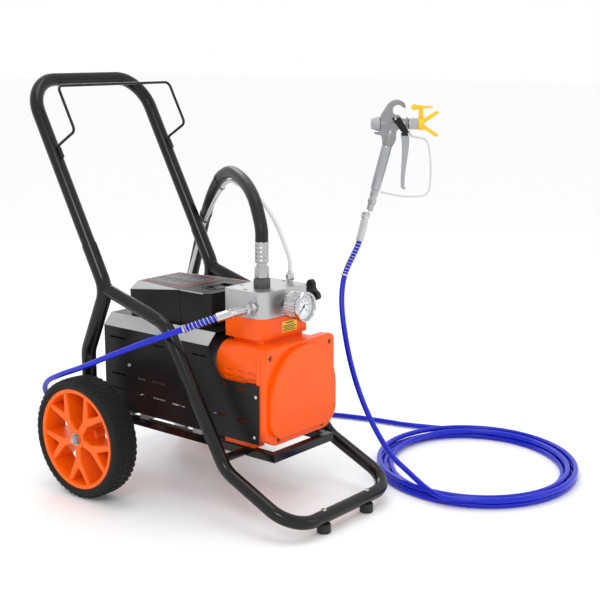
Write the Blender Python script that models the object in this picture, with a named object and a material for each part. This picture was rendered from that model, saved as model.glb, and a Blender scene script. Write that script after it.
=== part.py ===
"""Cart-mounted airless paint sprayer: tube cart, motor and diaphragm pump, suction side, hose and spray gun.

Metres, +Z up, the front of the cart faces -Y and its handle is at +Y. Sizes are given in the cart's own
frame: x = 0 on the cart's centre plane, y = 0 over the middle of the motor, z = 0 on the floor. The whole
model hangs on one empty, which moves the middle of the footprint to the world origin.
"""
from math import atan2, cos, hypot, pi, radians, sin, tan

import bmesh
import bpy
from mathutils import Matrix, Vector

GAP = 0.0003                      # air between pieces that touch

# Cart frame
TUBE_R, TUBE_BORE = 0.016, 0.0144
LEG_R, LEG_BORE = 0.0185, 0.0173
HANDLE_R, HANDLE_BORE = 0.0170, 0.0155
RAIL_X = 0.190                    # centre of the side rails, legs and handle
FRONT_Y, FRONT_Z = -0.353, 0.038  # front bar of the loop
BEND_LOW = (-0.149, 0.132)        # rail bends, as (y, z)
BEND_HIGH = (0.034, 0.450)
SOCKET_TOP = Vector((0.0, 0.297, 0.613))
HANDLE_DIR = Vector((0.0, 0.4748, 0.8801)).normalized()
SOCKET_LENGTH = 0.120
HANDLE_TOP = SOCKET_TOP + HANDLE_DIR * 0.4466
HANDLE_INSERT = 0.070
LEG_Y, LEG_BOTTOM, LEG_KNEE = 0.313, 0.140, 0.345
BUTTON_DOWN = 0.036               # snap button below the socket's mouth
BUTTON_R, BUTTON_REACH = 0.0042, 0.0235
CRADLE_X, CRADLE_FRONT, CRADLE_BAR = 0.101, -0.220, 0.020
CRADLE_Z = 0.155
WIRE_R = 0.0035

# Wheels
WHEEL_R, RIM_R = 0.150, 0.1255
TYRE_OUT, TYRE_IN = 0.300, 0.224
AXLE_Y, AXLE_Z, AXLE_R = 0.250, 0.150, 0.008
SPOKES = 5

# Motor and pump
MOTOR_Z = 0.300
MOTOR_R = 0.098
BELL_R = 0.110
MOTOR_FRONT, MOTOR_REAR = -0.0542, 0.252
SHAFT_R = 0.010
BEARING_R, BEARING_W = 0.026, 0.0072
CASE_X, CASE_LOW, CASE_HIGH, CASE_BORE = 0.1155, 0.184, 0.4095, 0.106
CASE_FRONT, CASE_REAR = -0.202, -0.0545
PLATE_HALF, PLATE_LOW, PLATE_HIGH = 0.128, 0.180, 0.413
COVER_HALF, COVER_LOW, COVER_EAVE, COVER_TOP = 0.130, 0.187, 0.399, 0.427
COVER_FRONT, COVER_REAR, COVER_STEP = -0.199, 0.320, 0.328
PINION_R, GEAR_R = 0.014, 0.0395
GEAR_Z = MOTOR_Z + PINION_R + GEAR_R + 0.0005
CAM_R, CAM_THROW = 0.016, 0.004
PUMP_Y = -0.1121                  # centre of the neck, piston and manifold
BLOCK_X, BLOCK_Y = 0.0825, 0.0595 # half sizes of the neck and the manifold
NECK_LOW, NECK_TOP, MANIFOLD_TOP = 0.4185, 0.4697, 0.5335

# Fluid fittings
INLET = Vector((-0.025, -0.120, MANIFOLD_TOP))
RETURN = Vector((0.062, -0.133, MANIFOLD_TOP))
OUTLET = Vector((-BLOCK_X, -0.146, 0.4975))
GAUGE = Vector((0.0, PUMP_Y - BLOCK_Y, 0.497))
RELIEF = Vector((BLOCK_X, -0.1525, 0.506))
SUCTION_R, RETURN_R, HOSE_R = 0.0155, 0.005, 0.007

# Hose coil on the floor
COIL_CENTRE = Vector((0.505, -0.395, 0.0))
COIL_ACROSS, COIL_DEEP, COIL_BAND, COIL_HEIGHT = 0.270, 0.300, 0.060, 0.0300
VIEW_TURN = radians(-50.7)        # heading of the gun's muzzle and of the coil's short axis

# Spray gun: its empty sits on the fluid axis at the valve body, X towards the muzzle
GUN = Vector((0.381, -0.208, 0.899))
GRIP_TOP, GRIP_END = Vector((-0.017, 0.0, -0.0540)), Vector((-0.0460, 0.0, -0.1660))
TRIGGER_PIVOT = Vector((0.002, 0.0, 0.013))

ROUTES = {
    "suction": ((-0.025, -0.120, 0.6431), (-0.0248, -0.1197, 0.668), (-0.013, -0.100, 0.703),
                (0.003, -0.073, 0.735), (0.036, -0.021, 0.762), (0.075, 0.042, 0.777),
                (0.115, 0.106, 0.780), (0.155, 0.170, 0.762), (0.192, 0.231, 0.724),
                (0.228, 0.289, 0.672), (0.248, 0.325, 0.625), (0.245, 0.340, 0.570),
                (0.224, 0.342, 0.500), (0.203, 0.349, 0.420), (0.190, 0.362, 0.330),
                (0.186, 0.368, 0.240), (0.186, 0.368, 0.160)),
    "return": ((0.062, -0.133, 0.5611), (0.062, -0.133, 0.587), (0.056, -0.120, 0.630),
               (0.049, -0.098, 0.680), (0.046, -0.062, 0.722), (0.056, -0.010, 0.744),
               (0.084, 0.052, 0.7555), (0.115, 0.102, 0.7570), (0.147, 0.152, 0.744),
               (0.178, 0.208, 0.7085), (0.2120, 0.270, 0.6590), (0.2300, 0.3110, 0.6120),
               (0.2240, 0.3270, 0.565), (0.2030, 0.3330, 0.500), (0.1815, 0.3410, 0.420),
               (0.1680, 0.3550, 0.330), (0.1610, 0.3640, 0.240), (0.1580, 0.3680, 0.160),
               (0.1580, 0.3680, 0.075)),
    "run": ((-0.168, -0.146, 0.4975), (-0.186, -0.139, 0.494), (-0.210, -0.119, 0.485),
            (-0.236, -0.085, 0.470), (-0.255, -0.036, 0.449), (-0.268, 0.042, 0.4165),
            (-0.276, 0.140, 0.374), (-0.277, 0.240, 0.330), (-0.272, 0.330, 0.294),
            (-0.259, 0.396, 0.262), (-0.236, 0.432, 0.226), (-0.200, 0.448, 0.194),
            (-0.150, 0.448, 0.172), (-0.095, 0.440, 0.157), (-0.030, 0.432, 0.143),
            (0.040, 0.430, 0.128), (0.110, 0.434, 0.106), (0.175, 0.444, 0.078),
            (0.235, 0.455, 0.048), (0.295, 0.458, 0.022), (0.350, 0.446, 0.0095),
            (0.410, 0.418, 0.0078), (0.495, 0.357, 0.0078),
            (0.565, 0.280, 0.0078), (0.617, 0.193, 0.0078), (0.651, 0.100, 0.0078),
            (0.672, 0.010, 0.0078), (0.688, -0.070, 0.0078), (0.7000, -0.1450, 0.0078)),
    "riser": ((0.3392, -0.1569, 0.6780), (0.3256, -0.1403, 0.5930), (0.3160, -0.1290, 0.5600),
              (0.3040, -0.1200, 0.5280), (0.2930, -0.1180, 0.4980), (0.2760, -0.127, 0.4500),
              (0.2590, -0.149, 0.3840), (0.2480, -0.184, 0.2870), (0.2460, -0.230, 0.1900),
              (0.2520, -0.283, 0.1080), (0.2620, -0.318, 0.0660), (0.2760, -0.351, 0.0400)),
}
END_LENGTH_OUTLET, END_LENGTH_GUN = 0.105, 0.175   # ferrule and spring guard along each hose end
CORD_NODES = ("outlet_hose_end", "hose_run", "hose_coil", "hose_riser", "gun_hose_end",
              "suction_ferrule", "suction_hose", "suction_strainer", "return_tube")

PAINT = {
    "frame_black": ((0.012, 0.012, 0.013), 0.28, 0.0),
    "cover_black": ((0.020, 0.020, 0.021), 0.42, 0.0),
    "orange_paint": ((0.85, 0.13, 0.012), 0.28, 0.0),
    "orange_plastic": ((0.90, 0.16, 0.010), 0.35, 0.0),
    "tyre_rubber": ((0.018, 0.018, 0.018), 0.80, 0.0),
    "foot_rubber": ((0.022, 0.022, 0.022), 0.75, 0.0),
    "bright_steel": ((0.72, 0.72, 0.73), 0.18, 1.0),
    "aluminium": ((0.62, 0.63, 0.65), 0.35, 1.0),
    "cast_grey": ((0.36, 0.37, 0.39), 0.50, 0.7),
    "black_plastic": ((0.022, 0.022, 0.024), 0.45, 0.0),
    "hose_blue": ((0.010, 0.030, 0.55), 0.30, 0.0),
    "hose_black": ((0.025, 0.025, 0.026), 0.50, 0.0),
    "clear_tube": ((0.85, 0.86, 0.85), 0.25, 0.0),
    "tip_yellow": ((0.95, 0.62, 0.02), 0.40, 0.0),
    "dial_white": ((0.88, 0.88, 0.86), 0.45, 0.0),
    "board_green": ((0.03, 0.20, 0.08), 0.50, 0.0),
    "diaphragm_white": ((0.75, 0.74, 0.70), 0.50, 0.0),
}


# ---- Building blocks -------------------------------------------------------------------------------

def clear_scene():
    for obj in list(bpy.data.objects):
        bpy.data.objects.remove(obj, do_unlink=True)


def paint(name):
    material = bpy.data.materials.get(name)
    if material is None:
        colour, roughness, metallic = PAINT[name]
        material = bpy.data.materials.new(name)
        material.use_nodes = True
        shader = material.node_tree.nodes["Principled BSDF"]
        shader.inputs["Base Color"].default_value = (*colour, 1.0)
        shader.inputs["Roughness"].default_value = roughness
        shader.inputs["Metallic"].default_value = metallic
        material.diffuse_color = (*colour, 1.0)
    return material


def add_empty(name, location=(0, 0, 0), parent=None, turn_z=0.0):
    empty = bpy.data.objects.new(name, None)
    empty.location = location
    empty.rotation_euler = (0, 0, turn_z)
    empty.parent = parent
    bpy.context.collection.objects.link(empty)
    return empty


def finish(name, bm, colour, parent, location=(0, 0, 0), axis=None, sharp=32):
    """Makes one object from a bmesh; axis is where the mesh's own +Z points."""
    bmesh.ops.recalc_face_normals(bm, faces=bm.faces)
    mesh = bpy.data.meshes.new(name)
    bm.to_mesh(mesh)
    bm.free()
    mesh.shade_smooth()
    mesh.set_sharp_from_angle(angle=radians(sharp))
    obj = bpy.data.objects.new(name, mesh)
    obj.data.materials.append(paint(colour))
    obj.location = location
    if axis is not None:
        obj.rotation_euler = Vector(axis).to_track_quat("Z", "Y").to_euler()
    obj.parent = parent
    bpy.context.collection.objects.link(obj)
    return obj


def lathe(profile, steps=24, start=0.0):
    """Solid of revolution about Z. The profile is a list of (radius, height); one that starts and ends
    on the axis closes there, and any other closes on itself as a ring."""
    bm = bmesh.new()
    rings = []
    for radius, height in profile:
        if radius < 1e-6:
            rings.append([bm.verts.new((0, 0, height))])
            continue
        angles = [start + 2 * pi * k / steps for k in range(steps)]
        rings.append([bm.verts.new((radius * cos(a), radius * sin(a), height)) for a in angles])
    pairs = list(zip(rings, rings[1:]))
    if len(rings[0]) > 1:
        pairs.append((rings[-1], rings[0]))
    for low, high in pairs:
        for k in range(steps):
            following = (k + 1) % steps
            corners = [low[k % len(low)], low[following % len(low)],
                       high[following % len(high)], high[k % len(high)]]
            bm.faces.new(list(dict.fromkeys(corners)))
    return bm


def rod(radius, length, steps=24, start=0.0):
    return lathe([(0, 0), (radius, 0), (radius, length), (0, length)], steps, start)


def ring(outer, inner, low, high, steps=24):
    return lathe([(inner, low), (outer, low), (outer, high), (inner, high)], steps)


def prism(outline, low, high):
    """Extrudes a flat outline, given as (x, y) points, from z = low to z = high."""
    bm = bmesh.new()
    bottom = [bm.verts.new((x, y, low)) for x, y in outline]
    top = [bm.verts.new((x, y, high)) for x, y in outline]
    bm.faces.new(bottom)
    bm.faces.new(top)
    for k in range(len(outline)):
        following = (k + 1) % len(outline)
        bm.faces.new((bottom[k], bottom[following], top[following], top[k]))
    return bm


def block(low, high):
    (x0, y0, z0), (x1, y1, z1) = low, high
    return prism(((x0, y0), (x1, y0), (x1, y1), (x0, y1)), z0, z1)


def arc(centre, radius, start, end, steps):
    """Points on a circle from one angle to another, in degrees."""
    angles = [radians(start + (end - start) * k / steps) for k in range(steps + 1)]
    return [(centre[0] + radius * cos(a), centre[1] + radius * sin(a)) for a in angles]


def round_rectangle(low, high, radii, steps=4):
    """Outline of a rectangle; radii are for the corners low-left, low-right, high-right, high-left."""
    (x0, y0), (x1, y1) = low, high
    a, b, c, d = radii
    return (arc((x0 + a, y0 + a), a, 180, 270, steps) + arc((x1 - b, y0 + b), b, 270, 360, steps)
            + arc((x1 - c, y1 - c), c, 0, 90, steps) + arc((x0 + d, y1 - d), d, 90, 180, steps))


def bent_path(corners, radii, steps=5):
    """Straight runs between corners, with an arc of the given radius at each inner corner."""
    corners = [Vector(c) for c in corners]
    path = [corners[0]]
    for before, corner, after, radius in zip(corners, corners[1:], corners[2:], radii):
        back, ahead = (before - corner).normalized(), (after - corner).normalized()
        half = back.angle(ahead) / 2
        reach = radius / tan(half)
        centre = corner + (back + ahead).normalized() * (radius / sin(half))
        start = (corner + back * reach - centre).normalized()
        end = (corner + ahead * reach - centre).normalized()
        for k in range(steps + 1):
            path.append(centre + start.slerp(end, k / steps) * radius)
    path.append(corners[-1])
    return path


def curve_through(points, spacing):
    """Even steps along the smooth curve that passes through the points (a centripetal spline)."""
    points = [Vector(p) for p in points]
    padded = [2 * points[0] - points[1], *points, 2 * points[-1] - points[-2]]
    fine = []
    for p0, p1, p2, p3 in zip(padded, padded[1:], padded[2:], padded[3:]):
        t1 = (p1 - p0).length ** 0.5
        t2 = t1 + (p2 - p1).length ** 0.5
        t3 = t2 + (p3 - p2).length ** 0.5
        for k in range(24):
            t = t1 + (t2 - t1) * k / 24
            a1 = p0.lerp(p1, t / t1)
            a2 = p1.lerp(p2, (t - t1) / (t2 - t1))
            a3 = p2.lerp(p3, (t - t2) / (t3 - t2))
            fine.append(a1.lerp(a2, t / t2).lerp(a2.lerp(a3, (t - t1) / (t3 - t1)), (t - t1) / (t2 - t1)))
    fine.append(points[-1])
    lengths = [0.0]
    for before, after in zip(fine, fine[1:]):
        lengths.append(lengths[-1] + (after - before).length)
    count = max(2, round(lengths[-1] / spacing))
    steps, k = [], 0
    for step in range(count + 1):
        target = lengths[-1] * step / count
        while k < len(fine) - 2 and lengths[k + 1] < target:
            k += 1
        share = (target - lengths[k]) / (lengths[k + 1] - lengths[k])
        steps.append(fine[k].lerp(fine[k + 1], share))
    return steps


def split_at(path, distance):
    """Cuts a path in two at a distance along it."""
    travelled = 0.0
    for k, (before, after) in enumerate(zip(path, path[1:])):
        length = (after - before).length
        if travelled + length >= distance:
            cut = before.lerp(after, (distance - travelled) / length)
            return path[:k + 1] + [cut], [cut] + path[k + 1:]
        travelled += length
    return path, []


def sweep(path, radii, sides=16, bore=None):
    """A bar, or with a bore a pipe, along a path. radii is one radius or one for each point."""
    path = [Vector(p) for p in path]
    if not hasattr(radii, "__len__"):
        radii = [radii] * len(path)
    heading = (path[1] - path[0]).normalized()
    side = heading.orthogonal().normalized()
    bm = bmesh.new()
    outer, inner = [], []
    for k, point in enumerate(path):
        ahead = (path[min(k + 1, len(path) - 1)] - path[max(k - 1, 0)]).normalized()
        side = heading.rotation_difference(ahead) @ side
        heading = ahead
        other = heading.cross(side)
        for rings, radius in ((outer, radii[k]), (inner, bore)):
            if radius is not None:
                spread = [side * cos(2 * pi * j / sides) + other * sin(2 * pi * j / sides)
                          for j in range(sides)]
                rings.append([bm.verts.new(point + direction * radius) for direction in spread])
    for rings in (outer, inner):
        for low, high in zip(rings, rings[1:]):
            for j in range(sides):
                bm.faces.new((low[j], low[(j + 1) % sides], high[(j + 1) % sides], high[j]))
    for end in (0, -1):
        if bore is None:
            bm.faces.new(outer[end])
        else:
            for j in range(sides):
                following = (j + 1) % sides
                bm.faces.new((outer[end][j], outer[end][following], inner[end][following], inner[end][j]))
    return bm


def combine(base, others, operation="UNION", sharp=32):
    """Joins pieces to a base, or cuts them out of it, and keeps the result as the base's mesh."""
    for other in others:
        modifier = base.modifiers.new(operation.lower(), "BOOLEAN")
        modifier.operation = operation
        modifier.solver = "EXACT"
        modifier.object = other
    bpy.context.view_layer.update()
    evaluated = base.evaluated_get(bpy.context.evaluated_depsgraph_get())
    mesh = bpy.data.meshes.new_from_object(evaluated)
    base.modifiers.clear()
    base.data = mesh
    mesh.shade_smooth()
    mesh.set_sharp_from_angle(angle=radians(sharp))
    for other in others:
        bpy.data.objects.remove(other, do_unlink=True)
    return base


def extra(bm, parent, location=(0, 0, 0), axis=None):
    """A piece that is joined to or cut from another one."""
    return finish("extra", bm, "frame_black", parent, location, axis)


def cord(name, path, radius, colour, parent, resolution=2):
    curve = bpy.data.curves.new(name, "CURVE")
    curve.dimensions = "3D"
    curve.bevel_depth = radius
    curve.bevel_resolution = resolution
    curve.render_resolution_u = 0
    curve.use_fill_caps = True
    spline = curve.splines.new("POLY")
    spline.points.add(len(path) - 1)
    for place, point in zip(spline.points, path):
        place.co = (*point, 1.0)
    curve.materials.append(paint(colour))
    obj = bpy.data.objects.new(name, curve)
    obj.parent = parent
    bpy.context.collection.objects.link(obj)
    return obj


# ---- Cart ------------------------------------------------------------------------------------------

def leg_corners(x):
    elbow = SOCKET_TOP - HANDLE_DIR * SOCKET_LENGTH
    return ((x, LEG_Y, LEG_BOTTOM), (x, LEG_Y, LEG_KNEE), (x, elbow.y, elbow.z),
            (x, SOCKET_TOP.y, SOCKET_TOP.z))


def button_place(x):
    centre = SOCKET_TOP - HANDLE_DIR * BUTTON_DOWN
    return Vector((x, centre.y, centre.z)), Vector((0, HANDLE_DIR.z, -HANDLE_DIR.y))


def button_hole(x, cart):
    centre, out = button_place(x)
    return extra(rod(BUTTON_R + 0.0005, 0.014, 12), cart, centre + out * 0.008, out)


def make_frame(cart):
    leg_path = {x: bent_path(leg_corners(x), (0.060, 0.065), 4) for x in (-RAIL_X, RAIL_X)}
    for name, x in (("rear_leg_left", -RAIL_X), ("rear_leg_right", RAIL_X)):
        leg = finish(name, sweep(leg_path[x], LEG_R, 16, LEG_BORE), "frame_black", cart)
        combine(leg, [button_hole(x, cart)], "DIFFERENCE")

    side = [(-RAIL_X, 0.2460, 0.5113), (-RAIL_X, *BEND_HIGH), (-RAIL_X, *BEND_LOW),
            (-RAIL_X, FRONT_Y, FRONT_Z)]
    corners = side + [(-x, y, z) for x, y, z in reversed(side)]
    radii = (0.070, 0.080, 0.075, 0.075, 0.080, 0.070)
    rail = finish("main_rail", sweep(bent_path(corners, radii, 4), TUBE_R, 12, TUBE_BORE), "frame_black", cart)
    copes = [extra(sweep(leg_path[x], LEG_R + 0.0005, 24), cart) for x in leg_path]
    combine(rail, copes, "DIFFERENCE")


def make_cradle(cart):
    half, bar = CRADLE_BAR / 2, CRADLE_BAR
    low, high = CRADLE_Z - half, CRADLE_Z + half
    rear = LEG_Y + half
    reach, arm = RAIL_X - LEG_R - GAP, RAIL_X - TUBE_R - GAP
    outer = CRADLE_X + half
    cradle = finish("engine_cradle", block((-outer, CRADLE_FRONT - half, low),
                                           (outer, CRADLE_FRONT + half, high)), "frame_black", cart)
    parts = [extra(block((-reach, rear - bar, low), (reach, rear, high)), cart)]
    for side in (-1, 1):
        x = side * CRADLE_X
        parts.append(extra(block((x - half, CRADLE_FRONT, low + 1e-4), (x + half, rear - half, high - 1e-4)),
                           cart))
        parts.append(extra(rod(0.0098, arm - CRADLE_X, 12), cart, (x, -0.135, CRADLE_Z), (side, 0, 0)))
        plate = round_rectangle((0.226, 0.126), (rear - 0.004, 0.182), (0.012, 0.004, 0.004, 0.012), 3)
        sheet = [Vector((side * 0.160, y, z)) for y, z in plate]
        parts.append(extra(plate_x(sheet, 0.006), cart))
    combine(cradle, parts)
    holes = [extra(rod(AXLE_R + 0.0004, 0.03, 16), cart, (side * 0.160 - 0.015, AXLE_Y, AXLE_Z), (1, 0, 0))
             for side in (-1, 1)]
    combine(cradle, holes, "DIFFERENCE")


def plate_x(points, thickness):
    """A flat sheet across the X axis, from its outline in Y and Z."""
    bm = bmesh.new()
    near = [bm.verts.new(p - Vector((thickness / 2, 0, 0))) for p in points]
    far = [bm.verts.new(p + Vector((thickness / 2, 0, 0))) for p in points]
    bm.faces.new(near)
    bm.faces.new(far)
    for k in range(len(points)):
        following = (k + 1) % len(points)
        bm.faces.new((near[k], near[following], far[following], far[k]))
    return bm


def make_handle(cart):
    start = SOCKET_TOP - HANDLE_DIR * HANDLE_INSERT
    side = [(-RAIL_X, start.y, start.z), (-RAIL_X, HANDLE_TOP.y, HANDLE_TOP.z)]
    corners = side + [(-x, y, z) for x, y, z in reversed(side)]
    handle = finish("push_handle", sweep(bent_path(corners, (0.090, 0.090), 6), HANDLE_R, 16, HANDLE_BORE),
                    "frame_black", cart)
    combine(handle, [button_hole(x, cart) for x in (-RAIL_X, RAIL_X)], "DIFFERENCE")
    for name, x in (("snap_button_left", -RAIL_X), ("snap_button_right", RAIL_X)):
        centre, out = button_place(x)
        profile = [(0, 0.006), (BUTTON_R, 0.006), (BUTTON_R, BUTTON_REACH - 0.0015),
                   (BUTTON_R * 0.7, BUTTON_REACH), (0, BUTTON_REACH)]
        finish(name, lathe(profile, 12), "bright_steel", cart, centre, out)


def make_hose_rack(cart):
    """Bent wire on two tabs, fixed to the front of the handle's tubes."""
    x = RAIL_X - 0.001
    side = [(-x, 0.3860, 0.8240), (-x, 0.3995, 0.8490), (-x, 0.3355, 0.8880), (-x, 0.3930, 0.9946)]
    corners = side + [(-px, y, z) for px, y, z in reversed(side)]
    rack = finish("hose_rack", sweep(bent_path(corners, (0.008, 0.012, 0.014, 0.014, 0.012, 0.008), 3),
                                     WIRE_R, 8), "frame_black", cart)
    tabs = []
    for side in (-1, 1):
        tab = block((-0.0042, -0.0037, -0.013), (0.0042, 0.0037, 0.013))
        tabs.append(extra(tab, cart, (side * x, 0.3908, 0.8317), HANDLE_DIR))
    combine(rack, tabs)


def make_feet(cart):
    for name, x in (("rubber_foot_left", -0.082), ("rubber_foot_right", 0.082)):
        top = FRONT_Z - TUBE_R - GAP
        profile = [(0, 0), (0.0150, 0), (0.0165, 0.002), (0.0160, top), (0, top)]
        finish(name, lathe(profile, 20), "foot_rubber", cart, (x, FRONT_Y, 0))


def make_wheel(cart, name, side):
    hub = add_empty(f"wheel_axis_{name}", (0, AXLE_Y, AXLE_Z), cart)
    facing = (side, 0, 0)
    tyre = [(RIM_R + GAP, TYRE_IN + 0.006), (0.136, TYRE_IN), (0.1445, TYRE_IN + 0.005),
            (WHEEL_R, TYRE_IN + 0.017), (WHEEL_R, TYRE_OUT - 0.014), (0.1465, TYRE_OUT - 0.004),
            (0.139, TYRE_OUT), (RIM_R + GAP, TYRE_OUT - 0.004)]
    finish(f"tyre_{name}", lathe(tyre, 36), "tyre_rubber", hub, (0, 0, 0), facing, 40)
    rim_in, rim_out = TYRE_IN + 0.008, TYRE_OUT - 0.004
    rim = finish(f"wheel_rim_{name}", ring(RIM_R, 0.1125, rim_in, rim_out, 36), "orange_plastic",
                 hub, (0, 0, 0), facing)
    parts = [extra(rod(0.025, 0.068, 20), hub, (side * (TYRE_IN + 0.001), 0, 0), facing),
             extra(rod(0.036, 0.0303, 22, 0.07), hub, (side * (TYRE_IN + 0.0063), 0, 0), facing)]
    for k in range(SPOKES):
        turn = 2 * pi * k / SPOKES + radians(55)
        parts.append(extra(spoke(turn, rim_in + 0.002, rim_out - 0.006), hub, (0, 0, 0), facing))
    combine(rim, parts)
    combine(rim, [extra(rod(AXLE_R + 0.0003, 0.09, 16), hub, (side * 0.215, 0, 0), facing)], "DIFFERENCE")
    axle = [(0, 0.150), (0.011, 0.150), (0.011, 0.1565), (AXLE_R, 0.1565), (AXLE_R, 0.3035),
            (AXLE_R - 0.002, 0.307), (0, 0.308)]
    finish(f"axle_{name}", lathe(axle, 16), "bright_steel", hub, (0, 0, 0), facing)
    nut = [(AXLE_R + GAP, TYRE_IN + 0.0693), (0.0150, TYRE_IN + 0.0693), (0.0150, TYRE_IN + 0.0715),
           (0.0125, TYRE_IN + 0.0715), (0.0125, TYRE_IN + 0.0790), (AXLE_R + GAP, TYRE_IN + 0.0790)]
    finish(f"axle_nut_{name}", lathe(nut, 18), "bright_steel", hub, (0, 0, 0), facing)


def spoke(turn, low, high):
    """A Y-shaped spoke: a stem from the hub that splits into two arms at the rim."""
    half_stem, half_arm = 0.0092, 0.0060
    left = Vector((0.1155, 0.0370))
    fork = Vector((0.066, 0.0))
    arm = (left - fork).normalized()
    across = Vector((-arm.y, arm.x)) * half_arm
    crotch = fork + Vector((half_arm / sin(atan2(arm.y, arm.x)), 0))
    upper = [(0.020, half_stem), (fork.x - 0.006, half_stem), tuple(left + across), tuple(left - across)]
    outline = upper + [tuple(crotch)] + [(x, -y) for x, y in reversed(upper)]
    turned = [(x * cos(turn) - y * sin(turn), x * sin(turn) + y * cos(turn)) for x, y in outline]
    return prism(turned, low, high)


# ---- Motor and control box -------------------------------------------------------------------------

def make_motor(cart):
    motor = add_empty("motor_axis", (0, 0, MOTOR_Z), cart)
    back = (0, 1, 0)
    seat = BEARING_R + GAP
    bell_rear = MOTOR_FRONT + 0.026
    profile = [(0.060, MOTOR_FRONT), (BELL_R, MOTOR_FRONT), (BELL_R, bell_rear), (MOTOR_R, bell_rear + 0.004),
               (MOTOR_R, MOTOR_REAR - 0.006), (MOTOR_R - 0.006, MOTOR_REAR), (seat, MOTOR_REAR),
               (seat, MOTOR_REAR - BEARING_W - 0.004), (0.080, MOTOR_REAR - BEARING_W - 0.004),
               (0.080, bell_rear + 0.010), (0.060, bell_rear)]
    housing = finish("motor_housing", lathe(profile, 32), "cast_grey", motor, (0, 0, 0), back)
    feet = []
    low = CRADLE_Z + CRADLE_BAR / 2 + GAP - MOTOR_Z
    for y in (0.005, 0.190):
        for side in (-1, 1):
            x0, x1 = sorted((side * 0.045, side * 0.108))
            feet.append(extra(block((x0, y, low), (x1, y + 0.030, low + 0.060)), motor))
    combine(housing, feet)

    rotor = [(0, -0.145), (PINION_R, -0.145), (PINION_R, -0.128), (SHAFT_R, -0.128), (SHAFT_R, 0.010),
             (0.045, 0.010), (0.045, 0.190), (SHAFT_R, 0.190), (SHAFT_R, 0.292), (0, 0.292)]
    finish("motor_rotor", lathe(rotor, 24), "bright_steel", motor, (0, 0, 0), back)
    for name, start in (("front", CASE_REAR - BEARING_W), ("rear", MOTOR_REAR - BEARING_W)):
        finish(f"motor_bearing_{name}", ring(BEARING_R, SHAFT_R + GAP, start, start + BEARING_W, 24),
               "bright_steel", motor, (0, 0, 0), back)
    fan = finish("cooling_fan", ring(0.022, SHAFT_R + GAP, 0.260, 0.284, 24), "black_plastic", motor,
                 (0, 0, 0), back)
    blades = []
    for k in range(6):
        blade = block((-0.0012, 0.018, -0.009), (0.0012, 0.082, 0.009))
        blade.transform(Matrix.Rotation(pi / 3 * k, 4, "Z") @ Matrix.Rotation(radians(25), 4, "Y"))
        blades.append(extra(blade, motor, (0, 0.272, 0), back))
    combine(fan, blades)


def cover_section(inset):
    """Half-hexagon section of the sheet cover, as (x, z), inset by the sheet's thickness."""
    half, eave = COVER_HALF - inset, COVER_EAVE - inset * 0.4
    top, shoulder = COVER_TOP - inset, 0.103 - inset * 0.4
    low = COVER_LOW - (0.01 if inset else 0.0)
    return [(-half, low), (half, low), (half, eave), (shoulder, top), (-shoulder, top), (-half, eave)]


def along_y(section, front, rear):
    """Extrudes an (x, z) section along Y."""
    bm = prism([(x, z) for x, z in section], -rear, -front)
    bm.transform(Matrix.Rotation(radians(90), 4, "X"))
    return bm


def make_cover(cart):
    sheet = 0.002
    cover = finish("motor_cover", along_y(cover_section(0), COVER_FRONT, COVER_REAR), "cover_black", cart)
    hollow = extra(along_y(cover_section(sheet), COVER_FRONT - 0.01, COVER_REAR - sheet), cart)
    step = [(-0.30, COVER_STEP), (-0.100, COVER_STEP), (-0.088, 0.3295), (-0.0785, 0.3335), (-0.073, 0.340),
            (-0.0694, 0.3454), (-0.041, COVER_EAVE), (-0.041, COVER_TOP + 0.02), (-0.30, COVER_TOP + 0.02)]
    cut = plate_x([Vector((0, y, z)) for y, z in step], 0.4)
    vent = extra(rod(0.060, 0.02, 24), cart, (0, COVER_REAR - 0.01, MOTOR_Z), (0, 1, 0))
    combine(cover, [hollow, extra(cut, cart), vent], "DIFFERENCE")


def make_control_box(cart):
    low, high, front = COVER_TOP + GAP, 0.512, -0.008
    outline = [(-0.078, front), (0.078, front), (0.093, front + 0.015), (0.093, 0.088), (0.100, 0.252),
               (-0.100, 0.252), (-0.093, 0.088), (-0.093, front + 0.015)]
    box = finish("control_box", prism(outline, low, high), "black_plastic", cart)
    for side in (-1, 1):
        wedge = bmesh.new()
        ends = [Vector((side * 0.0935, 0.084, high + 0.0002)), Vector((side * 0.070, 0.2525, high + 0.001)),
                Vector((side * 0.1012, 0.2525, high - 0.018)), Vector((side * 0.1012, 0.2525, high + 0.001))]
        corners = [wedge.verts.new(p) for p in ends]
        for triple in ((0, 1, 2), (0, 2, 3), (0, 3, 1), (1, 3, 2)):
            wedge.faces.new([corners[k] for k in triple])
        combine(box, [extra(wedge, cart)], "DIFFERENCE")
    hollow = extra(block((-0.086, 0.010, low - 0.01), (0.086, 0.236, high - 0.022)), cart)
    recess = extra(block((-0.036, 0.020, high - 0.013), (0.036, 0.058, high + 0.01)), cart)
    combine(box, [hollow, recess], "DIFFERENCE")
    rocker = [(-0.0065, -0.007), (0.0065, -0.007), (0.0065, 0.002), (0.0, 0.0005), (-0.0065, 0.0045)]
    bm = plate_x([Vector((0, 1.9 * y, z)) for y, z in rocker], 0.030)
    finish("rocker_switch", bm, "black_plastic", cart, (0, 0.039, high - 0.0022))
    board = block((-0.060, 0.110, low + 0.020), (0.060, 0.215, low + 0.0216))
    circuit = finish("circuit_board", board, "board_green", cart)
    lumps = [extra(block((x, y, low + 0.021), (x + 0.018, y + 0.022, low + 0.021 + h)), cart)
             for x, y, h in ((-0.045, 0.125, 0.018), (-0.010, 0.125, 0.012), (0.022, 0.165, 0.022))]
    combine(circuit, lumps)


# ---- Pump ------------------------------------------------------------------------------------------

def block_outline():
    """Plan of the neck and the manifold: one large round on the corner beside the hose outlet."""
    return round_rectangle((-BLOCK_X, PUMP_Y - BLOCK_Y), (BLOCK_X, PUMP_Y + BLOCK_Y),
                           (0.030, 0.008, 0.004, 0.004), 5)


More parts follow.
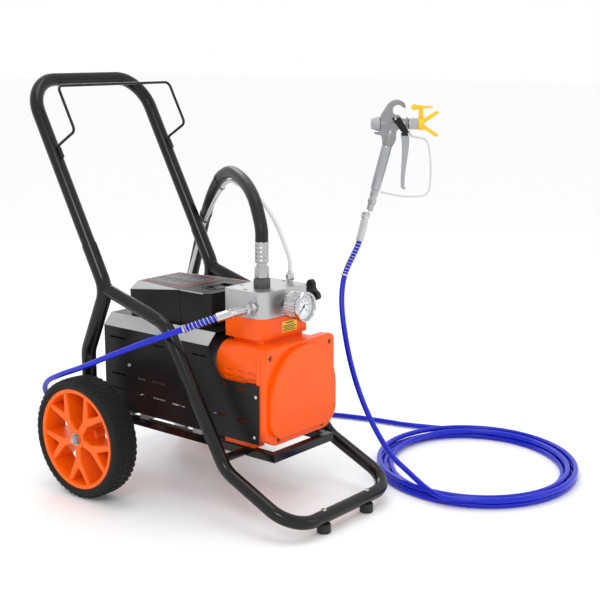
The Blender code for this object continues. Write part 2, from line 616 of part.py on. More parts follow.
def make_crankcase(cart):
    body = round_rectangle((-CASE_X, CASE_LOW), (CASE_X, CASE_HIGH), (0.034, 0.034, 0.045, 0.045), 5)
    case = finish("crankcase", along_y(body, CASE_FRONT + 0.002, CASE_REAR), "orange_paint", cart)
    flange = round_rectangle((-0.126, 0.1835), (0.126, 0.4115), (0.034, 0.034, 0.016, 0.016), 4)
    low = CRADLE_Z + CRADLE_BAR / 2 + GAP
    parts = [extra(along_y(flange, CASE_FRONT, CASE_FRONT + 0.015), cart),
             extra(prism(block_outline(), NECK_LOW, NECK_TOP), cart),
             extra(block((-0.072, -0.164, 0.360), (0.072, -0.072, NECK_LOW + 0.004)), cart),
             extra(block((-0.106, -0.165, low), (-0.070, -0.070, 0.235)), cart),
             extra(block((0.070, -0.165, low), (0.106, -0.070, 0.235)), cart)]
    combine(case, parts)
    cavity = extra(rod(CASE_BORE, CASE_REAR - 0.0078 - CASE_FRONT + 0.02, 32, 0.05), cart,
                   (0, CASE_FRONT - 0.02, MOTOR_Z), (0, 1, 0))
    seat = extra(rod(BEARING_R + GAP, 0.03, 24, 0.02), cart, (0, CASE_REAR - 0.02, MOTOR_Z), (0, 1, 0))
    stepped = [(0, 0.380), (0.0180, 0.380), (0.0180, 0.425), (0.0105, 0.425), (0.0105, NECK_TOP - 0.010),
               (0.0420, NECK_TOP - 0.010), (0.0420, NECK_TOP + 0.020), (0, NECK_TOP + 0.020)]
    bore = extra(lathe(stepped, 24, 0.05), cart, (0, PUMP_Y, 0), (0, 0, 1))
    combine(case, [cavity, seat, bore], "DIFFERENCE")


def dome_outline(half, low, centre, corner):
    """A D turned upright: a half circle on top of straight sides with rounded lower corners."""
    return (arc((0, centre), half, 0, 180, 20) + arc((-half + corner, low + corner), corner, 180, 270, 4)
            + arc((half - corner, low + corner), corner, 270, 360, 4))


def make_front_cover(cart):
    back, face, proud = CASE_FRONT - GAP, -0.2185, -0.2335
    plate = round_rectangle((-PLATE_HALF, PLATE_LOW), (PLATE_HALF, PLATE_HIGH), (0.044, 0.044, 0.018, 0.018), 5)
    cover = finish("pump_front_cover", along_y(plate, face, back), "orange_paint", cart)
    dome = extra(along_y(dome_outline(0.1180, 0.198, 0.288, 0.040), proud, back - 0.002), cart)
    combine(cover, [dome])
    hollow = extra(along_y(dome_outline(0.098, 0.222, 0.292, 0.030), proud + 0.006, back + 0.01), cart)
    combine(cover, [hollow], "DIFFERENCE")


def make_drive(cart):
    """Reduction gear with its eccentric, the piston it lifts, the return spring and the diaphragm."""
    forward = (0, 1, 0)
    gear_axis = add_empty("gear_axis", (0, 0, GEAR_Z), cart)
    gear = finish("eccentric_gear", rod(GEAR_R, 0.012, 36), "bright_steel", gear_axis, (0, -0.142, 0), forward)
    parts = [extra(rod(CAM_R, 0.028, 24, 0.1), gear_axis, (0, -0.132, -CAM_THROW), forward),
             extra(rod(0.006, 0.0994, 12), gear_axis, (0, -0.162, 0), forward)]
    combine(gear, parts)
    bottom = GEAR_Z + CAM_THROW + CAM_R + 0.0006
    piston = [(0, bottom), (0.0100, bottom), (0.0100, bottom + 0.004), (0.0145, bottom + 0.004),
              (0.0145, bottom + 0.008), (0.0098, bottom + 0.008), (0.0098, 0.4500), (0, 0.4500)]
    finish("pump_piston", lathe(piston, 16), "bright_steel", cart, (0, PUMP_Y, 0), (0, 0, 1))
    turns, low, high = 4, bottom + 0.0095, 0.4235
    coil = [Vector((0.0128 * cos(a), 0.0128 * sin(a), low + (high - low) * a / (2 * pi * turns)))
            for a in (2 * pi * k / 10 for k in range(turns * 10 + 1))]
    finish("piston_spring", sweep(coil, 0.0010, 6), "bright_steel", cart, (0, PUMP_Y, 0))
    disc = [(0, NECK_TOP - 0.0035), (0.030, NECK_TOP - 0.0035), (0.0410, NECK_TOP - 0.0020),
            (0.0410, NECK_TOP - 0.0002), (0, NECK_TOP - 0.0002)]
    finish("pump_diaphragm", lathe(disc, 24), "diaphragm_white", cart, (0, PUMP_Y, 0), (0, 0, 1))


def make_manifold(cart):
    manifold = finish("paint_manifold", prism(block_outline(), NECK_TOP + GAP, MANIFOLD_TOP), "aluminium", cart)
    up = (0, 0, 1)
    cuts = [extra(rod(0.0320, 0.02, 24), cart, (0, PUMP_Y, NECK_TOP - 0.012), up),
            extra(rod(0.0090, 0.07, 12), cart, (INLET.x, INLET.y, 0.475), up),
            extra(rod(0.0045, 0.03, 12), cart, (RETURN.x, RETURN.y, 0.510), up),
            extra(rod(0.0060, 0.04, 12), cart, (OUTLET.x - 0.01, OUTLET.y, OUTLET.z), (1, 0, 0)),
            extra(rod(0.0050, 0.03, 12), cart, (GAUGE.x, GAUGE.y - 0.01, GAUGE.z), (0, 1, 0)),
            extra(rod(0.0070, 0.03, 12), cart, (RELIEF.x + 0.01, RELIEF.y, RELIEF.z), (-1, 0, 0))]
    combine(manifold, cuts, "DIFFERENCE")


# ---- Fittings, gauge and valve ---------------------------------------------------------------------

def make_fittings(cart):
    up = (0, 0, 1)
    inlet = [(0, -0.010), (0.0086, -0.010), (0.0086, GAP), (0.0190, GAP), (0.0200, 0.0015), (0.0200, 0.0210),
             (0.0190, 0.0225), (0.0125, 0.0225), (0.0125, 0.0245), (0.0170, 0.0245), (0.0180, 0.0260),
             (0.0180, 0.0505), (0.0165, 0.0522), (0, 0.0522)]
    finish("inlet_fitting", lathe(inlet, 18), "bright_steel", cart, INLET, up)
    ferrule = [(0, 0.0528), (0.0125, 0.0528), (0.0125, 0.0600), (0.0165, 0.0617), (0.0165, 0.1080),
               (0.0158, 0.1090), (0, 0.1090)]
    finish("suction_ferrule", lathe(ferrule, 24), "bright_steel", cart, INLET, up)
    fitting = [(0, -0.008), (0.0042, -0.008), (0.0042, GAP), (0.0075, GAP), (0.0075, 0.006), (0.0100, 0.007),
               (0.0100, 0.021), (0.0070, 0.022), (0.0070, 0.0270), (0, 0.0270)]
    finish("return_fitting", lathe(fitting, 16), "bright_steel", cart, RETURN, up)
    outlet = [(0, -0.010), (0.0056, -0.010), (0.0056, GAP), (0.0135, GAP), (0.0135, 0.011), (0.0095, 0.012),
              (0.0095, 0.0170), (0, 0.0170)]
    finish("outlet_fitting", lathe(outlet, 12), "bright_steel", cart, OUTLET, (-1, 0, 0))


def make_gauge(cart):
    gauge = add_empty("gauge_axis", GAUGE, cart)
    facing = (0, -1, 0)
    body = [(0, -0.012), (0.0046, -0.012), (0.0046, GAP), (0.0090, GAP), (0.0090, 0.016), (0.0310, 0.018),
            (0.0330, 0.022), (0.0330, 0.056), (0.0355, 0.058), (0.0355, 0.0655), (0.0300, 0.0655),
            (0.0300, 0.0530), (0, 0.0530)]
    finish("gauge_body", lathe(body, 32), "bright_steel", gauge, (0, 0, 0), facing)
    pointer = [(-0.0012, -0.008), (0.0012, -0.008), (0.0007, 0.023), (-0.0007, 0.023)]
    needle = finish("gauge_needle", prism(pointer, 0.0548, 0.0556), "black_plastic", gauge, (0, 0, 0), facing)
    combine(needle, [extra(rod(0.0032, 0.0016, 12), gauge, (0, -0.0550, 0), facing)])
    needle.rotation_euler = (radians(90), radians(-135), 0)


def make_relief_valve(cart):
    valve = add_empty("relief_axis", RELIEF, cart)
    out = (1, 0, 0)
    body = [(0, -0.012), (0.0065, -0.012), (0.0065, GAP), (0.0130, GAP), (0.0130, 0.012), (0.0110, 0.014),
            (0.0110, 0.026), (0, 0.026)]
    finish("relief_valve", lathe(body, 16), "black_plastic", valve, (0, 0, 0), out)
    knob = finish("relief_knob", rod(0.0140, 0.0200, 20), "black_plastic", valve, (0.0263, 0, 0), out)
    lobes = []
    for k in range(3):
        angle = 2 * pi * k / 3 + radians(90)
        centre = Vector((0.0385, 0.0215 * cos(angle), 0.0215 * sin(angle)))
        lobes.append(extra(rod(0.0085, 0.0150, 12, 0.13), valve, centre - Vector((0.0090, 0, 0)), out))
    combine(knob, lobes)


# ---- Hoses -----------------------------------------------------------------------------------------

def hose_end(name, path, steps, cart):
    """Swivel nut, crimped ferrule and spring guard along the first stretch of a hose."""
    travelled, radii = 0.0, []
    for before, after in zip([path[0], *path], path):
        travelled += (after - before).length
        radii.append(next(radius for limit, radius in steps if travelled <= limit + 1e-6))
    finish(name, sweep(path, radii, 12), "bright_steel", cart)


def make_paint_hose(cart):
    run = curve_through(((OUTLET.x - 0.0173, OUTLET.y, OUTLET.z), *ROUTES["run"]), 0.012)
    nose, rest = split_at(run, END_LENGTH_OUTLET + 0.075)
    hose_end("outlet_hose_end", nose, ((0.020, 0.0115), (0.082, 0.0105), (9.0, 0.0095)), cart)
    _, rest = split_at(rest, 3 * GAP)
    cord("hose_run", curve_through(rest[:2] + rest[3::3] + [rest[-1]], 0.034), HOSE_R, "hose_blue", cart)

    riser = curve_through(ROUTES["riser"], 0.012)
    _, riser = split_at(riser, GAP)
    nose, rest = split_at(riser, END_LENGTH_GUN)
    hose_end("gun_hose_end", nose, ((0.022, 0.0115), (0.075, 0.0100), (9.0, 0.0095)), cart)
    _, rest = split_at(rest, 3 * GAP)
    cord("hose_riser", curve_through(rest[:2] + rest[3::3] + [rest[-1]], 0.034), HOSE_R, "hose_blue", cart)

    outer, inner, edge = COIL_ACROSS, COIL_ACROSS - COIL_BAND, 0.006
    low, high = 0.0004, COIL_HEIGHT
    profile = [(inner, low + edge), (inner + edge, low), (outer - edge, low), (outer, low + edge),
               (outer, high - edge), (outer - edge, high), (inner + edge, high), (inner, high - edge)]
    coil = lathe(profile, 44)
    coil.transform(Matrix.Rotation(VIEW_TURN, 4, "Z") @ Matrix.Diagonal((1, COIL_DEEP / COIL_ACROSS, 1, 1)))
    finish("hose_coil", coil, "hose_blue", cart, COIL_CENTRE)


def make_suction(cart):
    path = curve_through(ROUTES["suction"], 0.050)
    start, end = path[0], path[-1]
    path.insert(1, start + Vector((0, 0, 0.012)))
    cord("suction_hose", path, SUCTION_R, "hose_black", cart, 3)
    strainer = [(0, -0.130), (0.0190, -0.130), (0.0200, -0.126), (0.0200, -0.060), (0.0160, -0.052),
                (0.0160, -0.022), (0.0180, -0.020), (0.0180, -GAP), (0, -GAP)]
    finish("suction_strainer", lathe(strainer, 20), "bright_steel", cart, end)
    cord("return_tube", curve_through(ROUTES["return"], 0.024), RETURN_R, "clear_tube", cart)


# ---- Spray gun -------------------------------------------------------------------------------------

def flat_piece(outline, half):
    """A plate in the gun's X-Z plane, from its outline as (x, z), centred on Y."""
    bm = prism(outline, -half, half)
    bm.transform(Matrix.Rotation(radians(90), 4, "X"))
    return bm


def make_gun_body(gun):
    outline = [(-0.0355, -0.0080), (-0.0358, -0.0200), (-0.0506, -0.0207), (-0.0474, -0.0258),
               (-0.0330, -0.0285), (-0.0301, -0.0388), (-0.0296, -0.0469), (-0.0039, -0.0550),
               (0.0042, -0.0390), (0.0052, -0.0180), (0.0120, -0.0125), (0.0296, -0.0125),
               (0.0296, -0.0185), (0.0338, -0.0185), (0.0338, 0.0163), (0.0296, 0.0163),
               (0.0290, 0.0120), (0.0180, 0.0140), (0.0125, 0.0205), (0.0099, 0.0228), (0.0060, 0.0215)]
    outline += arc((0.0083, 0.0340), 0.0131, 240, 42, 12)
    outline += [(0.0262, 0.0392), (0.0274, 0.0440)]
    outline += arc((0.0045, 0.0330), 0.0267, 42, 142, 8)
    outline += [(-0.0335, 0.0225), (-0.0355, 0.0120)]
    body = finish("gun_body", flat_piece(outline, 0.0100), "aluminium", gun)
    forward = (1, 0, 0)
    down = (GRIP_END - GRIP_TOP).normalized()
    parts = [extra(rod(0.0125, 0.066, 20), gun, (-0.036, 0, 0), forward),
             extra(rod(0.0085, 0.0385, 16, 0.1), gun, (0.020, 0, 0), forward),
             extra(rod(0.0142, 0.040, 20), gun, GRIP_TOP - down * 0.0400, down),
             extra(rod(0.0030, 0.0330, 10), gun, TRIGGER_PIVOT - Vector((0, 0.0165, 0)), (0, 1, 0))]
    combine(body, parts)
    combine(body, [extra(rod(0.0050, 0.070, 10), gun, (0.010, 0, 0), forward),
                   extra(rod(0.0060, 0.060, 10), gun, GRIP_TOP - down * 0.035, down)], "DIFFERENCE")


def make_gun(cart):
    gun = add_empty("gun_frame", GUN, cart, VIEW_TURN)
    forward, down = (1, 0, 0), (GRIP_END - GRIP_TOP).normalized()
    length = (GRIP_END - GRIP_TOP).length
    make_gun_body(gun)
    finish("gun_grip", ring(0.0130, 0.0060, GAP, length, 24), "aluminium", gun, GRIP_TOP, down)
    swivel = [(0.0045, GAP), (0.0120, GAP), (0.0120, 0.014), (0.0095, 0.016), (0.0095, 0.020), (0.0128, 0.022),
              (0.0128, 0.036), (0.0085, 0.040), (0.0085, 0.0545), (0.0045, 0.0545)]
    finish("gun_swivel", lathe(swivel, 16), "bright_steel", gun, GRIP_END, down)
    knob = [(0, 0.0363), (0.0175, 0.0363), (0.0185, 0.0378), (0.0180, 0.0400), (0.0130, 0.0570), (0.0118, 0.0585),
            (0, 0.0585)]
    finish("needle_cap", lathe(knob, 10), "cast_grey", gun, (0, 0, 0), (-1, 0, 0))

    tip = add_empty("tip_axis", (0, 0, 0), gun)
    nut = [(0.0088, 0.0346), (0.0125, 0.0346), (0.0140, 0.0360), (0.0140, 0.0586), (0.0088, 0.0586)]
    finish("guard_nut", lathe(nut, 20), "bright_steel", tip, (0, 0, 0), forward)
    guard = finish("tip_guard", rod(0.0160, 0.0150, 20), "tip_yellow", tip, (0.0590, 0, 0), forward)
    wing = [(0.068, 0.0), (0.074, 0.0), (0.108, 0.0255), (0.110, 0.0290), (0.1065, 0.0325), (0.074, 0.0120),
            (0.066, 0.0120)]
    parts = [extra(flat_piece([(x, side * z) for x, z in wing], 0.0075), tip) for side in (-1, 1)]
    combine(guard, parts)
    combine(guard, [extra(rod(0.0058, 0.050, 16), tip, (0.0665, 0, -0.0125), (0, 0, 1)),
                    extra(rod(0.0050, 0.030, 12), tip, (0.050, 0, 0), forward)], "DIFFERENCE")
    key = finish("tip_key", rod(0.0055, 0.0480, 16), "tip_yellow", tip, (0.0665, 0, -0.0120), (0, 0, 1))
    arrow = (arc((0.0490, 0.0410), 0.0078, 300, 60, 10)
             + [(0.064, 0.0462), (0.076, 0.0440), (0.088, 0.0452), (0.0977, 0.0414), (0.088, 0.0372),
                (0.076, 0.0380), (0.064, 0.0345)])
    combine(key, [extra(flat_piece(arrow, 0.0032), tip)])

    make_trigger(gun)
    guard = ((-0.0325, -0.1712), (-0.0137, -0.1752), (0.0168, -0.1808), (0.0472, -0.1825), (0.0706, -0.1813),
             (0.0834, -0.1761), (0.0902, -0.1667), (0.0931, -0.1363), (0.0935, -0.1060), (0.0906, -0.0758),
             (0.0853, -0.0481), (0.0770, -0.0388), (0.0630, -0.0347), (0.0514, -0.0331), (0.0450, -0.0305),
             (0.0400, -0.0258), (0.0376, -0.0205), (0.0371, -0.0165))
    wire = curve_through([(x, 0.0, z) for x, z in guard], 0.0048)
    finish("trigger_guard", sweep(wire, 0.0024, 8), "clear_tube", gun)


def make_trigger(gun):
    pivot = TRIGGER_PIVOT
    lever = [(0.0165, -0.0260), (0.0300, -0.0250), (0.0375, -0.0300), (0.0372, -0.0573), (0.0325, -0.0950),
             (0.0277, -0.1363), (0.0275, -0.1520), (0.0310, -0.1640), (0.0245, -0.1640), (0.0190, -0.1580),
             (0.0184, -0.1363), (0.0200, -0.0950), (0.0205, -0.0573)]
    trigger = finish("gun_trigger", flat_piece([(x - pivot.x, z - pivot.z) for x, z in lever], 0.0095),
                     "bright_steel", gun, pivot)
    cheek = [(-0.0085, 0.0000), (0.0140, -0.0300), (0.0220, -0.0400), (0.0330, -0.0320), (0.0190, -0.0080),
             (0.0115, 0.0035), (-0.0075, 0.0025)]
    cheeks = []
    for side in (-1, 1):
        bm = flat_piece(cheek, 0.0012)
        bm.transform(Matrix.Translation((0, side * 0.0142, 0)))
        cheeks.append(extra(bm, gun, pivot))
        bridge = block((0.016, min(side * 0.008, side * 0.0150), -0.041),
                       (0.036, max(side * 0.008, side * 0.0150), -0.034))
        cheeks.append(extra(bridge, gun, pivot))
    combine(trigger, cheeks)
    combine(trigger, [extra(rod(0.0034, 0.05, 10), gun, pivot - Vector((0, 0.025, 0)), (0, 1, 0))],
            "DIFFERENCE")
    lock = [(-0.005, -0.004), (0.005, -0.004), (0.006, 0.006), (0.016, -0.004), (0.026, -0.022), (0.018, -0.026),
            (0.006, -0.012)]
    bm = flat_piece(lock, 0.0014)
    finish("trigger_lock", bm, "black_plastic", gun, (0.004, -0.0182, 0.010))


# ---- Assembly --------------------------------------------------------------------------------------

def centre_on_footprint(cart):
    """Moves the cart so that the middle of its footprint, without the hoses, is at the origin."""
    bpy.context.view_layer.update()
    depsgraph = bpy.context.evaluated_depsgraph_get()
    corners = []
    for obj in bpy.data.objects:
        if obj.type in ("MESH", "CURVE") and obj.name not in CORD_NODES:
            shape = obj.evaluated_get(depsgraph)
            corners += [shape.matrix_world @ vertex.co for vertex in shape.to_mesh().vertices]
    for axis in (0, 1):
        values = [corner[axis] for corner in corners]
        cart.location[axis] = -(min(values) + max(values)) / 2
    bpy.context.view_layer.update()


def main():
    clear_scene()
    cart = add_empty("cart")
    make_frame(cart)
    make_cradle(cart)
    make_handle(cart)
    make_hose_rack(cart)
    make_feet(cart)
    for name, side in (("left", -1), ("right", 1)):
        make_wheel(cart, name, side)
    make_motor(cart)
    make_cover(cart)
    make_control_box(cart)
    make_crankcase(cart)
    make_front_cover(cart)
    make_drive(cart)
    make_manifold(cart)
    make_fittings(cart)
    make_gauge(cart)
    make_relief_valve(cart)
    make_paint_hose(cart)
    make_suction(cart)
    make_gun(cart)
    centre_on_footprint(cart)


main()
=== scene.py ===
"""The looks of a cart-mounted airless paint sprayer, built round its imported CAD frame.

Points are in the cart's own frame: x = 0 on its centre plane, y = 0 over the middle of the motor, z = 0 on the
floor, metres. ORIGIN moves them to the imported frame. The cart's front faces -Y.
"""
from math import atan2, cos, pi, radians, sin, sqrt, tan

import bmesh
import bpy
from mathutils import Matrix, Vector


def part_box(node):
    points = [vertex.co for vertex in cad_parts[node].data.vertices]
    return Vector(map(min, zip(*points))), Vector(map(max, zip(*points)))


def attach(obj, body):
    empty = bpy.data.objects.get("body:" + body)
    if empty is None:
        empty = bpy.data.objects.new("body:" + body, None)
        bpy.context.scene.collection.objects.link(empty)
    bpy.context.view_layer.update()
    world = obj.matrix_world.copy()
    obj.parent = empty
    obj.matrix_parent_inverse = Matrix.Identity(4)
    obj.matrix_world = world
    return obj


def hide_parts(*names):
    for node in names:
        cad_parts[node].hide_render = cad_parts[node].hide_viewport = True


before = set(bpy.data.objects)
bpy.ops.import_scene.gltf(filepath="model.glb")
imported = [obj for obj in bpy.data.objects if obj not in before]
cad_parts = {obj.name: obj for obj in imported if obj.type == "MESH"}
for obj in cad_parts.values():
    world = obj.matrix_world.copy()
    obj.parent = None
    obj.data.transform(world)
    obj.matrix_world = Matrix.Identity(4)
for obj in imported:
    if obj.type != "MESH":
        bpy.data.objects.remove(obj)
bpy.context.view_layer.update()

TUBE_R, LEG_R, HANDLE_R, WIRE_R = 0.016, 0.0185, 0.017, 0.0035
RAIL_X = 0.19
HANDLE_DIR = Vector((0.0, 0.4748, 0.8801)).normalized()
HANDLE_OUT = Vector((0.0, HANDLE_DIR.z, -HANDLE_DIR.y))
SOCKET_TOP = Vector((0.0, 0.297, 0.613))
HANDLE_TOP = SOCKET_TOP + HANDLE_DIR * 0.4466
RIM_R, TYRE_OUT, TYRE_IN = 0.1255, 0.3, 0.224
AXLE_Y, AXLE_Z = 0.25, 0.15
MOTOR_Z = 0.3
CASE_FRONT, CASE_REAR = -0.202, -0.0545
PUMP_Y, BLOCK_X, BLOCK_Y = -0.1121, 0.0825, 0.0595
NECK_LOW, NECK_TOP, MANIFOLD_TOP = 0.4185, 0.4697, 0.5335
INLET, RETURN = Vector((-0.025, -0.12, MANIFOLD_TOP)), Vector((0.062, -0.133, MANIFOLD_TOP))
OUTLET = Vector((-BLOCK_X, -0.146, 0.4975))
HOSE_START = OUTLET + Vector((-0.0173, 0, 0))
GAUGE, RELIEF = Vector((0.0, PUMP_Y - BLOCK_Y, 0.497)), Vector((BLOCK_X, -0.1525, 0.506))
HOSE_R, SUCTION_R, RETURN_R = 0.007, 0.0155, 0.005
COIL_CENTRE, COIL_MID, COIL_STRETCH = Vector((0.505, -0.395, 0.0)), 0.24, 0.3 / 0.27
VIEW_TURN = radians(-50.7)
GUN = Vector((0.381, -0.208, 0.899))
GRIP_TOP, GRIP_END = Vector((-0.017, 0.0, -0.054)), Vector((-0.046, 0.0, -0.166))
SWIVEL_LENGTH = 0.0545
STEM_CLEAR = 0.0006   # the hose end's slanted stem stops this short of the swivel, which turns
PUMP_FERRULE, PUMP_GUARD_END = 0.1, 0.18   # along the hose from its start: ferrule, then spring guard
GUN_FERRULE, GUN_GUARD_END = 0.076, 0.175
COVER_X, SHEET = 0.13, 0.0018
CAMERA_PLACE = Vector((-2.14862, -1.97337, 1.09515))
CAMERA_HEADING, CAMERA_PITCH, CAMERA_LENS = radians(-50.707), radians(11.868), 73.2
FOOT_X, FOOT_Y = 0.082, -0.353
SIDES = (("left", -1), ("right", 1))
PIVOT = Vector((0.002, 0.0, 0.013))

ROUTES = {"suction": ((-0.025, -0.12, 0.6431), (-0.0248, -0.1197, 0.668), (-0.013, -0.1, 0.703), (0.003,
    -0.073, 0.735), (0.036, -0.021, 0.762), (0.075, 0.042, 0.777), (0.115, 0.106, 0.78), (0.155, 0.17, 0.762),
    (0.192, 0.231, 0.724), (0.228, 0.289, 0.672), (0.248, 0.325, 0.625), (0.245, 0.34, 0.57), (0.224, 0.342,
    0.5), (0.203, 0.349, 0.42), (0.19, 0.362, 0.33), (0.186, 0.368, 0.24), (0.186, 0.368, 0.16)),
    "return": ((0.062, -0.133, 0.5611), (0.062, -0.133, 0.587), (0.056, -0.12, 0.63), (0.049, -0.098, 0.68),
    (0.046, -0.062, 0.722), (0.056, -0.01, 0.744), (0.084, 0.052, 0.7555), (0.115, 0.102, 0.757), (0.147,
    0.152, 0.744), (0.178, 0.208, 0.7085), (0.212, 0.27, 0.659), (0.23, 0.311, 0.612), (0.224, 0.327, 0.565),
    (0.203, 0.333, 0.5), (0.1815, 0.341, 0.42), (0.168, 0.355, 0.33), (0.161, 0.364, 0.24), (0.158, 0.368,
    0.16), (0.158, 0.368, 0.075)), "run": ((-0.168, -0.146, 0.4975), (-0.186, -0.139, 0.494), (-0.21, -0.119,
    0.485), (-0.236, -0.085, 0.47), (-0.255, -0.036, 0.449), (-0.268, 0.042, 0.4165), (-0.276, 0.14, 0.374),
    (-0.277, 0.24, 0.33), (-0.272, 0.33, 0.294), (-0.259, 0.396, 0.262), (-0.236, 0.432, 0.226), (-0.2, 0.448,
    0.194), (-0.15, 0.448, 0.172), (-0.095, 0.44, 0.157), (-0.03, 0.432, 0.143), (0.04, 0.43, 0.128), (0.11,
    0.434, 0.106), (0.175, 0.444, 0.078), (0.235, 0.455, 0.048), (0.295, 0.458, 0.022), (0.35, 0.446, 0.0095),
    (0.41, 0.418, 0.0078), (0.495, 0.357, 0.0078), (0.565, 0.28, 0.0078), (0.617, 0.193, 0.0078), (0.651, 0.1,
    0.0078), (0.672, 0.01, 0.0078), (0.684, -0.06, 0.0078)), "riser": ((0.3392, -0.1569, 0.678), (0.3256,
    -0.1403, 0.593), (0.316, -0.129, 0.56), (0.304, -0.12, 0.528), (0.293, -0.118, 0.498), (0.276, -0.127,
    0.45), (0.259, -0.149, 0.384), (0.248, -0.184, 0.287), (0.246, -0.23, 0.19), (0.252, -0.283, 0.108),
    (0.262, -0.318, 0.066), (0.276, -0.351, 0.04)), }

_low, _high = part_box("paint_manifold")
ORIGIN = Vector(((_low.x + _high.x) / 2, (_low.y + _high.y) / 2 - PUMP_Y, 0.0))
GUN_FRAME = Matrix.Translation(GUN) @ Matrix.Rotation(VIEW_TURN, 4, "Z")


# ---- Materials -------------------------------------------------------------------------------------

def material(name, colour, roughness, metallic=0.0, grain=0.0, grain_scale=400.0, tone=0.0, tone_scale=30.0,
             coat=0.0, **inputs):
    """A Principled finish. grain is the depth of a fine noise bump, and tone how far its colour drifts."""
    made = bpy.data.materials.new(name)
    made.use_nodes = True
    nodes, links = made.node_tree.nodes, made.node_tree.links
    shader = nodes["Principled BSDF"]
    shader.inputs["Base Color"].default_value = (*colour, 1.0)
    shader.inputs["Roughness"].default_value = roughness
    shader.inputs["Metallic"].default_value = metallic
    shader.inputs["Coat Weight"].default_value = coat
    for key, value in inputs.items():
        shader.inputs[key.replace("_", " ")].default_value = value
    place = nodes.new("ShaderNodeTexCoord")
    if grain:
        speck = nodes.new("ShaderNodeTexNoise")
        speck.inputs["Scale"].default_value = grain_scale
        speck.inputs["Detail"].default_value = 3.0
        bump = nodes.new("ShaderNodeBump")
        bump.inputs["Strength"].default_value = grain
        bump.inputs["Distance"].default_value = 0.001
        links.new(place.outputs["Object"], speck.inputs["Vector"])
        links.new(speck.outputs["Fac"], bump.inputs["Height"])
        links.new(bump.outputs["Normal"], shader.inputs["Normal"])
    if tone:
        drift = nodes.new("ShaderNodeTexNoise")
        drift.inputs["Scale"].default_value = tone_scale
        ramp = nodes.new("ShaderNodeValToRGB")
        ramp.color_ramp.elements[0].position = 0.3
        ramp.color_ramp.elements[0].color = (*(c * (1 - tone) for c in colour), 1.0)
        ramp.color_ramp.elements[1].position = 0.7
        ramp.color_ramp.elements[1].color = (*(min(1, c * (1 + tone)) for c in colour), 1.0)
        links.new(place.outputs["Object"], drift.inputs["Vector"])
        links.new(drift.outputs["Fac"], ramp.inputs["Fac"])
        links.new(ramp.outputs["Color"], shader.inputs["Base Color"])
    return made


FRAME_PAINT = material("frame_paint", (0.006, 0.006, 0.0065), 0.16, grain=0.03, grain_scale=250,
    Specular_IOR_Level=0.3)
COVER_PAINT = material("cover_paint", (0.008, 0.008, 0.0085), 0.34, grain=0.08, grain_scale=900,
    Specular_IOR_Level=0.22)
# Silver paint of the cover and box stripes; also used for the painted highlight strips along the control box's
# top edges.
SILVER_PAINT_AND_HIGHLIGHT = material("silver_paint_and_highlight", (0.46, 0.47, 0.48), 0.42, 0.35, grain=0.08, grain_scale=1500,
    tone=0.03)
BOX_PLASTIC = material("box_plastic", (0.008, 0.008, 0.0085), 0.4, grain=0.12, grain_scale=1200,
    Specular_IOR_Level=0.22)
ORANGE = material("pump_paint", (0.9, 0.098, 0.001), 0.22, grain=0.05, grain_scale=120, tone=0.02,
    Specular_IOR_Level=0.32)
RIM_ORANGE = material("rim_plastic", (0.9, 0.125, 0.001), 0.32, grain=0.05, grain_scale=500,
    Specular_IOR_Level=0.28)
TYRE = material("tyre_rubber", (0.009, 0.009, 0.009), 0.7, grain=0.6, grain_scale=420, tone=0.15,
    tone_scale=60, Specular_IOR_Level=0.25)
RUBBER = material("foot_rubber", (0.012, 0.012, 0.013), 0.65, grain=0.3, grain_scale=800)
CHROME = material("chrome", (0.55, 0.55, 0.56), 0.14, 1.0, tone=0.04)
ZINC = material("zinc_steel", (0.44, 0.44, 0.45), 0.27, 1.0, grain=0.08, grain_scale=900, tone=0.08)
DARK_STEEL = material("dark_steel", (0.11, 0.11, 0.115), 0.35, 1.0, grain=0.1, grain_scale=900)
ALLOY = material("manifold_alloy", (0.47, 0.475, 0.485), 0.33, 0.85, grain=0.1, grain_scale=700, tone=0.04)
GUN_ALLOY = material("gun_alloy", (0.27, 0.275, 0.285), 0.32, 0.85, grain=0.35, grain_scale=420, tone=0.07)
GRIP_ALLOY = material("grip_alloy", (0.38, 0.39, 0.42), 0.28, 0.85, grain=0.05, grain_scale=900, tone=0.03)
CAST_GREY = material("cast_grey", (0.42, 0.43, 0.45), 0.5, 0.6, grain=0.3, grain_scale=500)
HOSE_BLUE = material("hose_blue", (0.001, 0.01, 0.5), 0.25, grain=0.02, grain_scale=700,
    Specular_IOR_Level=0.35)
HOSE_BLACK = material("hose_black", (0.007, 0.007, 0.0075), 0.38, grain=0.25, grain_scale=650,
    Specular_IOR_Level=0.3)
CLEAR = material("clear_tube", (0.74, 0.76, 0.76), 0.24, tone=0.02, Transmission_Weight=0.15, IOR=1.3)
GLASS = material("gauge_glass", (1.0, 1.0, 1.0), 0.03, Transmission_Weight=1.0, IOR=1.05, Alpha=0.12)
YELLOW = material("tip_yellow", (0.92, 0.5, 0.004), 0.35, grain=0.04, grain_scale=800)
LABEL_YELLOW = material("label_yellow", (0.88, 0.58, 0.01), 0.4, grain=0.02)
PRINT_BLACK = material("print_black", (0.015, 0.015, 0.015), 0.5, grain=0.02)
PRINT_GREY = material("print_grey", (0.16, 0.16, 0.18), 0.45, grain=0.02, tone=0.3, tone_scale=220)
PRINT_RED = material("print_red", (0.48, 0.055, 0.03), 0.4, grain=0.02)
DIAL = material("dial_white", (0.86, 0.88, 0.93), 0.45, grain=0.02)
BLACK_PLASTIC = material("black_plastic", (0.007, 0.007, 0.0075), 0.36, grain=0.08, grain_scale=900,
    Specular_IOR_Level=0.28)
STRAP = material("guard_strap", (0.6, 0.61, 0.6), 0.35, grain=0.03)
BOARD = material("circuit_board", (0.03, 0.2, 0.08), 0.5, grain=0.1, grain_scale=900)
DIAPHRAGM = material("diaphragm", (0.75, 0.74, 0.7), 0.5, grain=0.05)
GAP_BLACK = material("shadow_gap", (0.003, 0.003, 0.003), 0.9, grain=0.02)


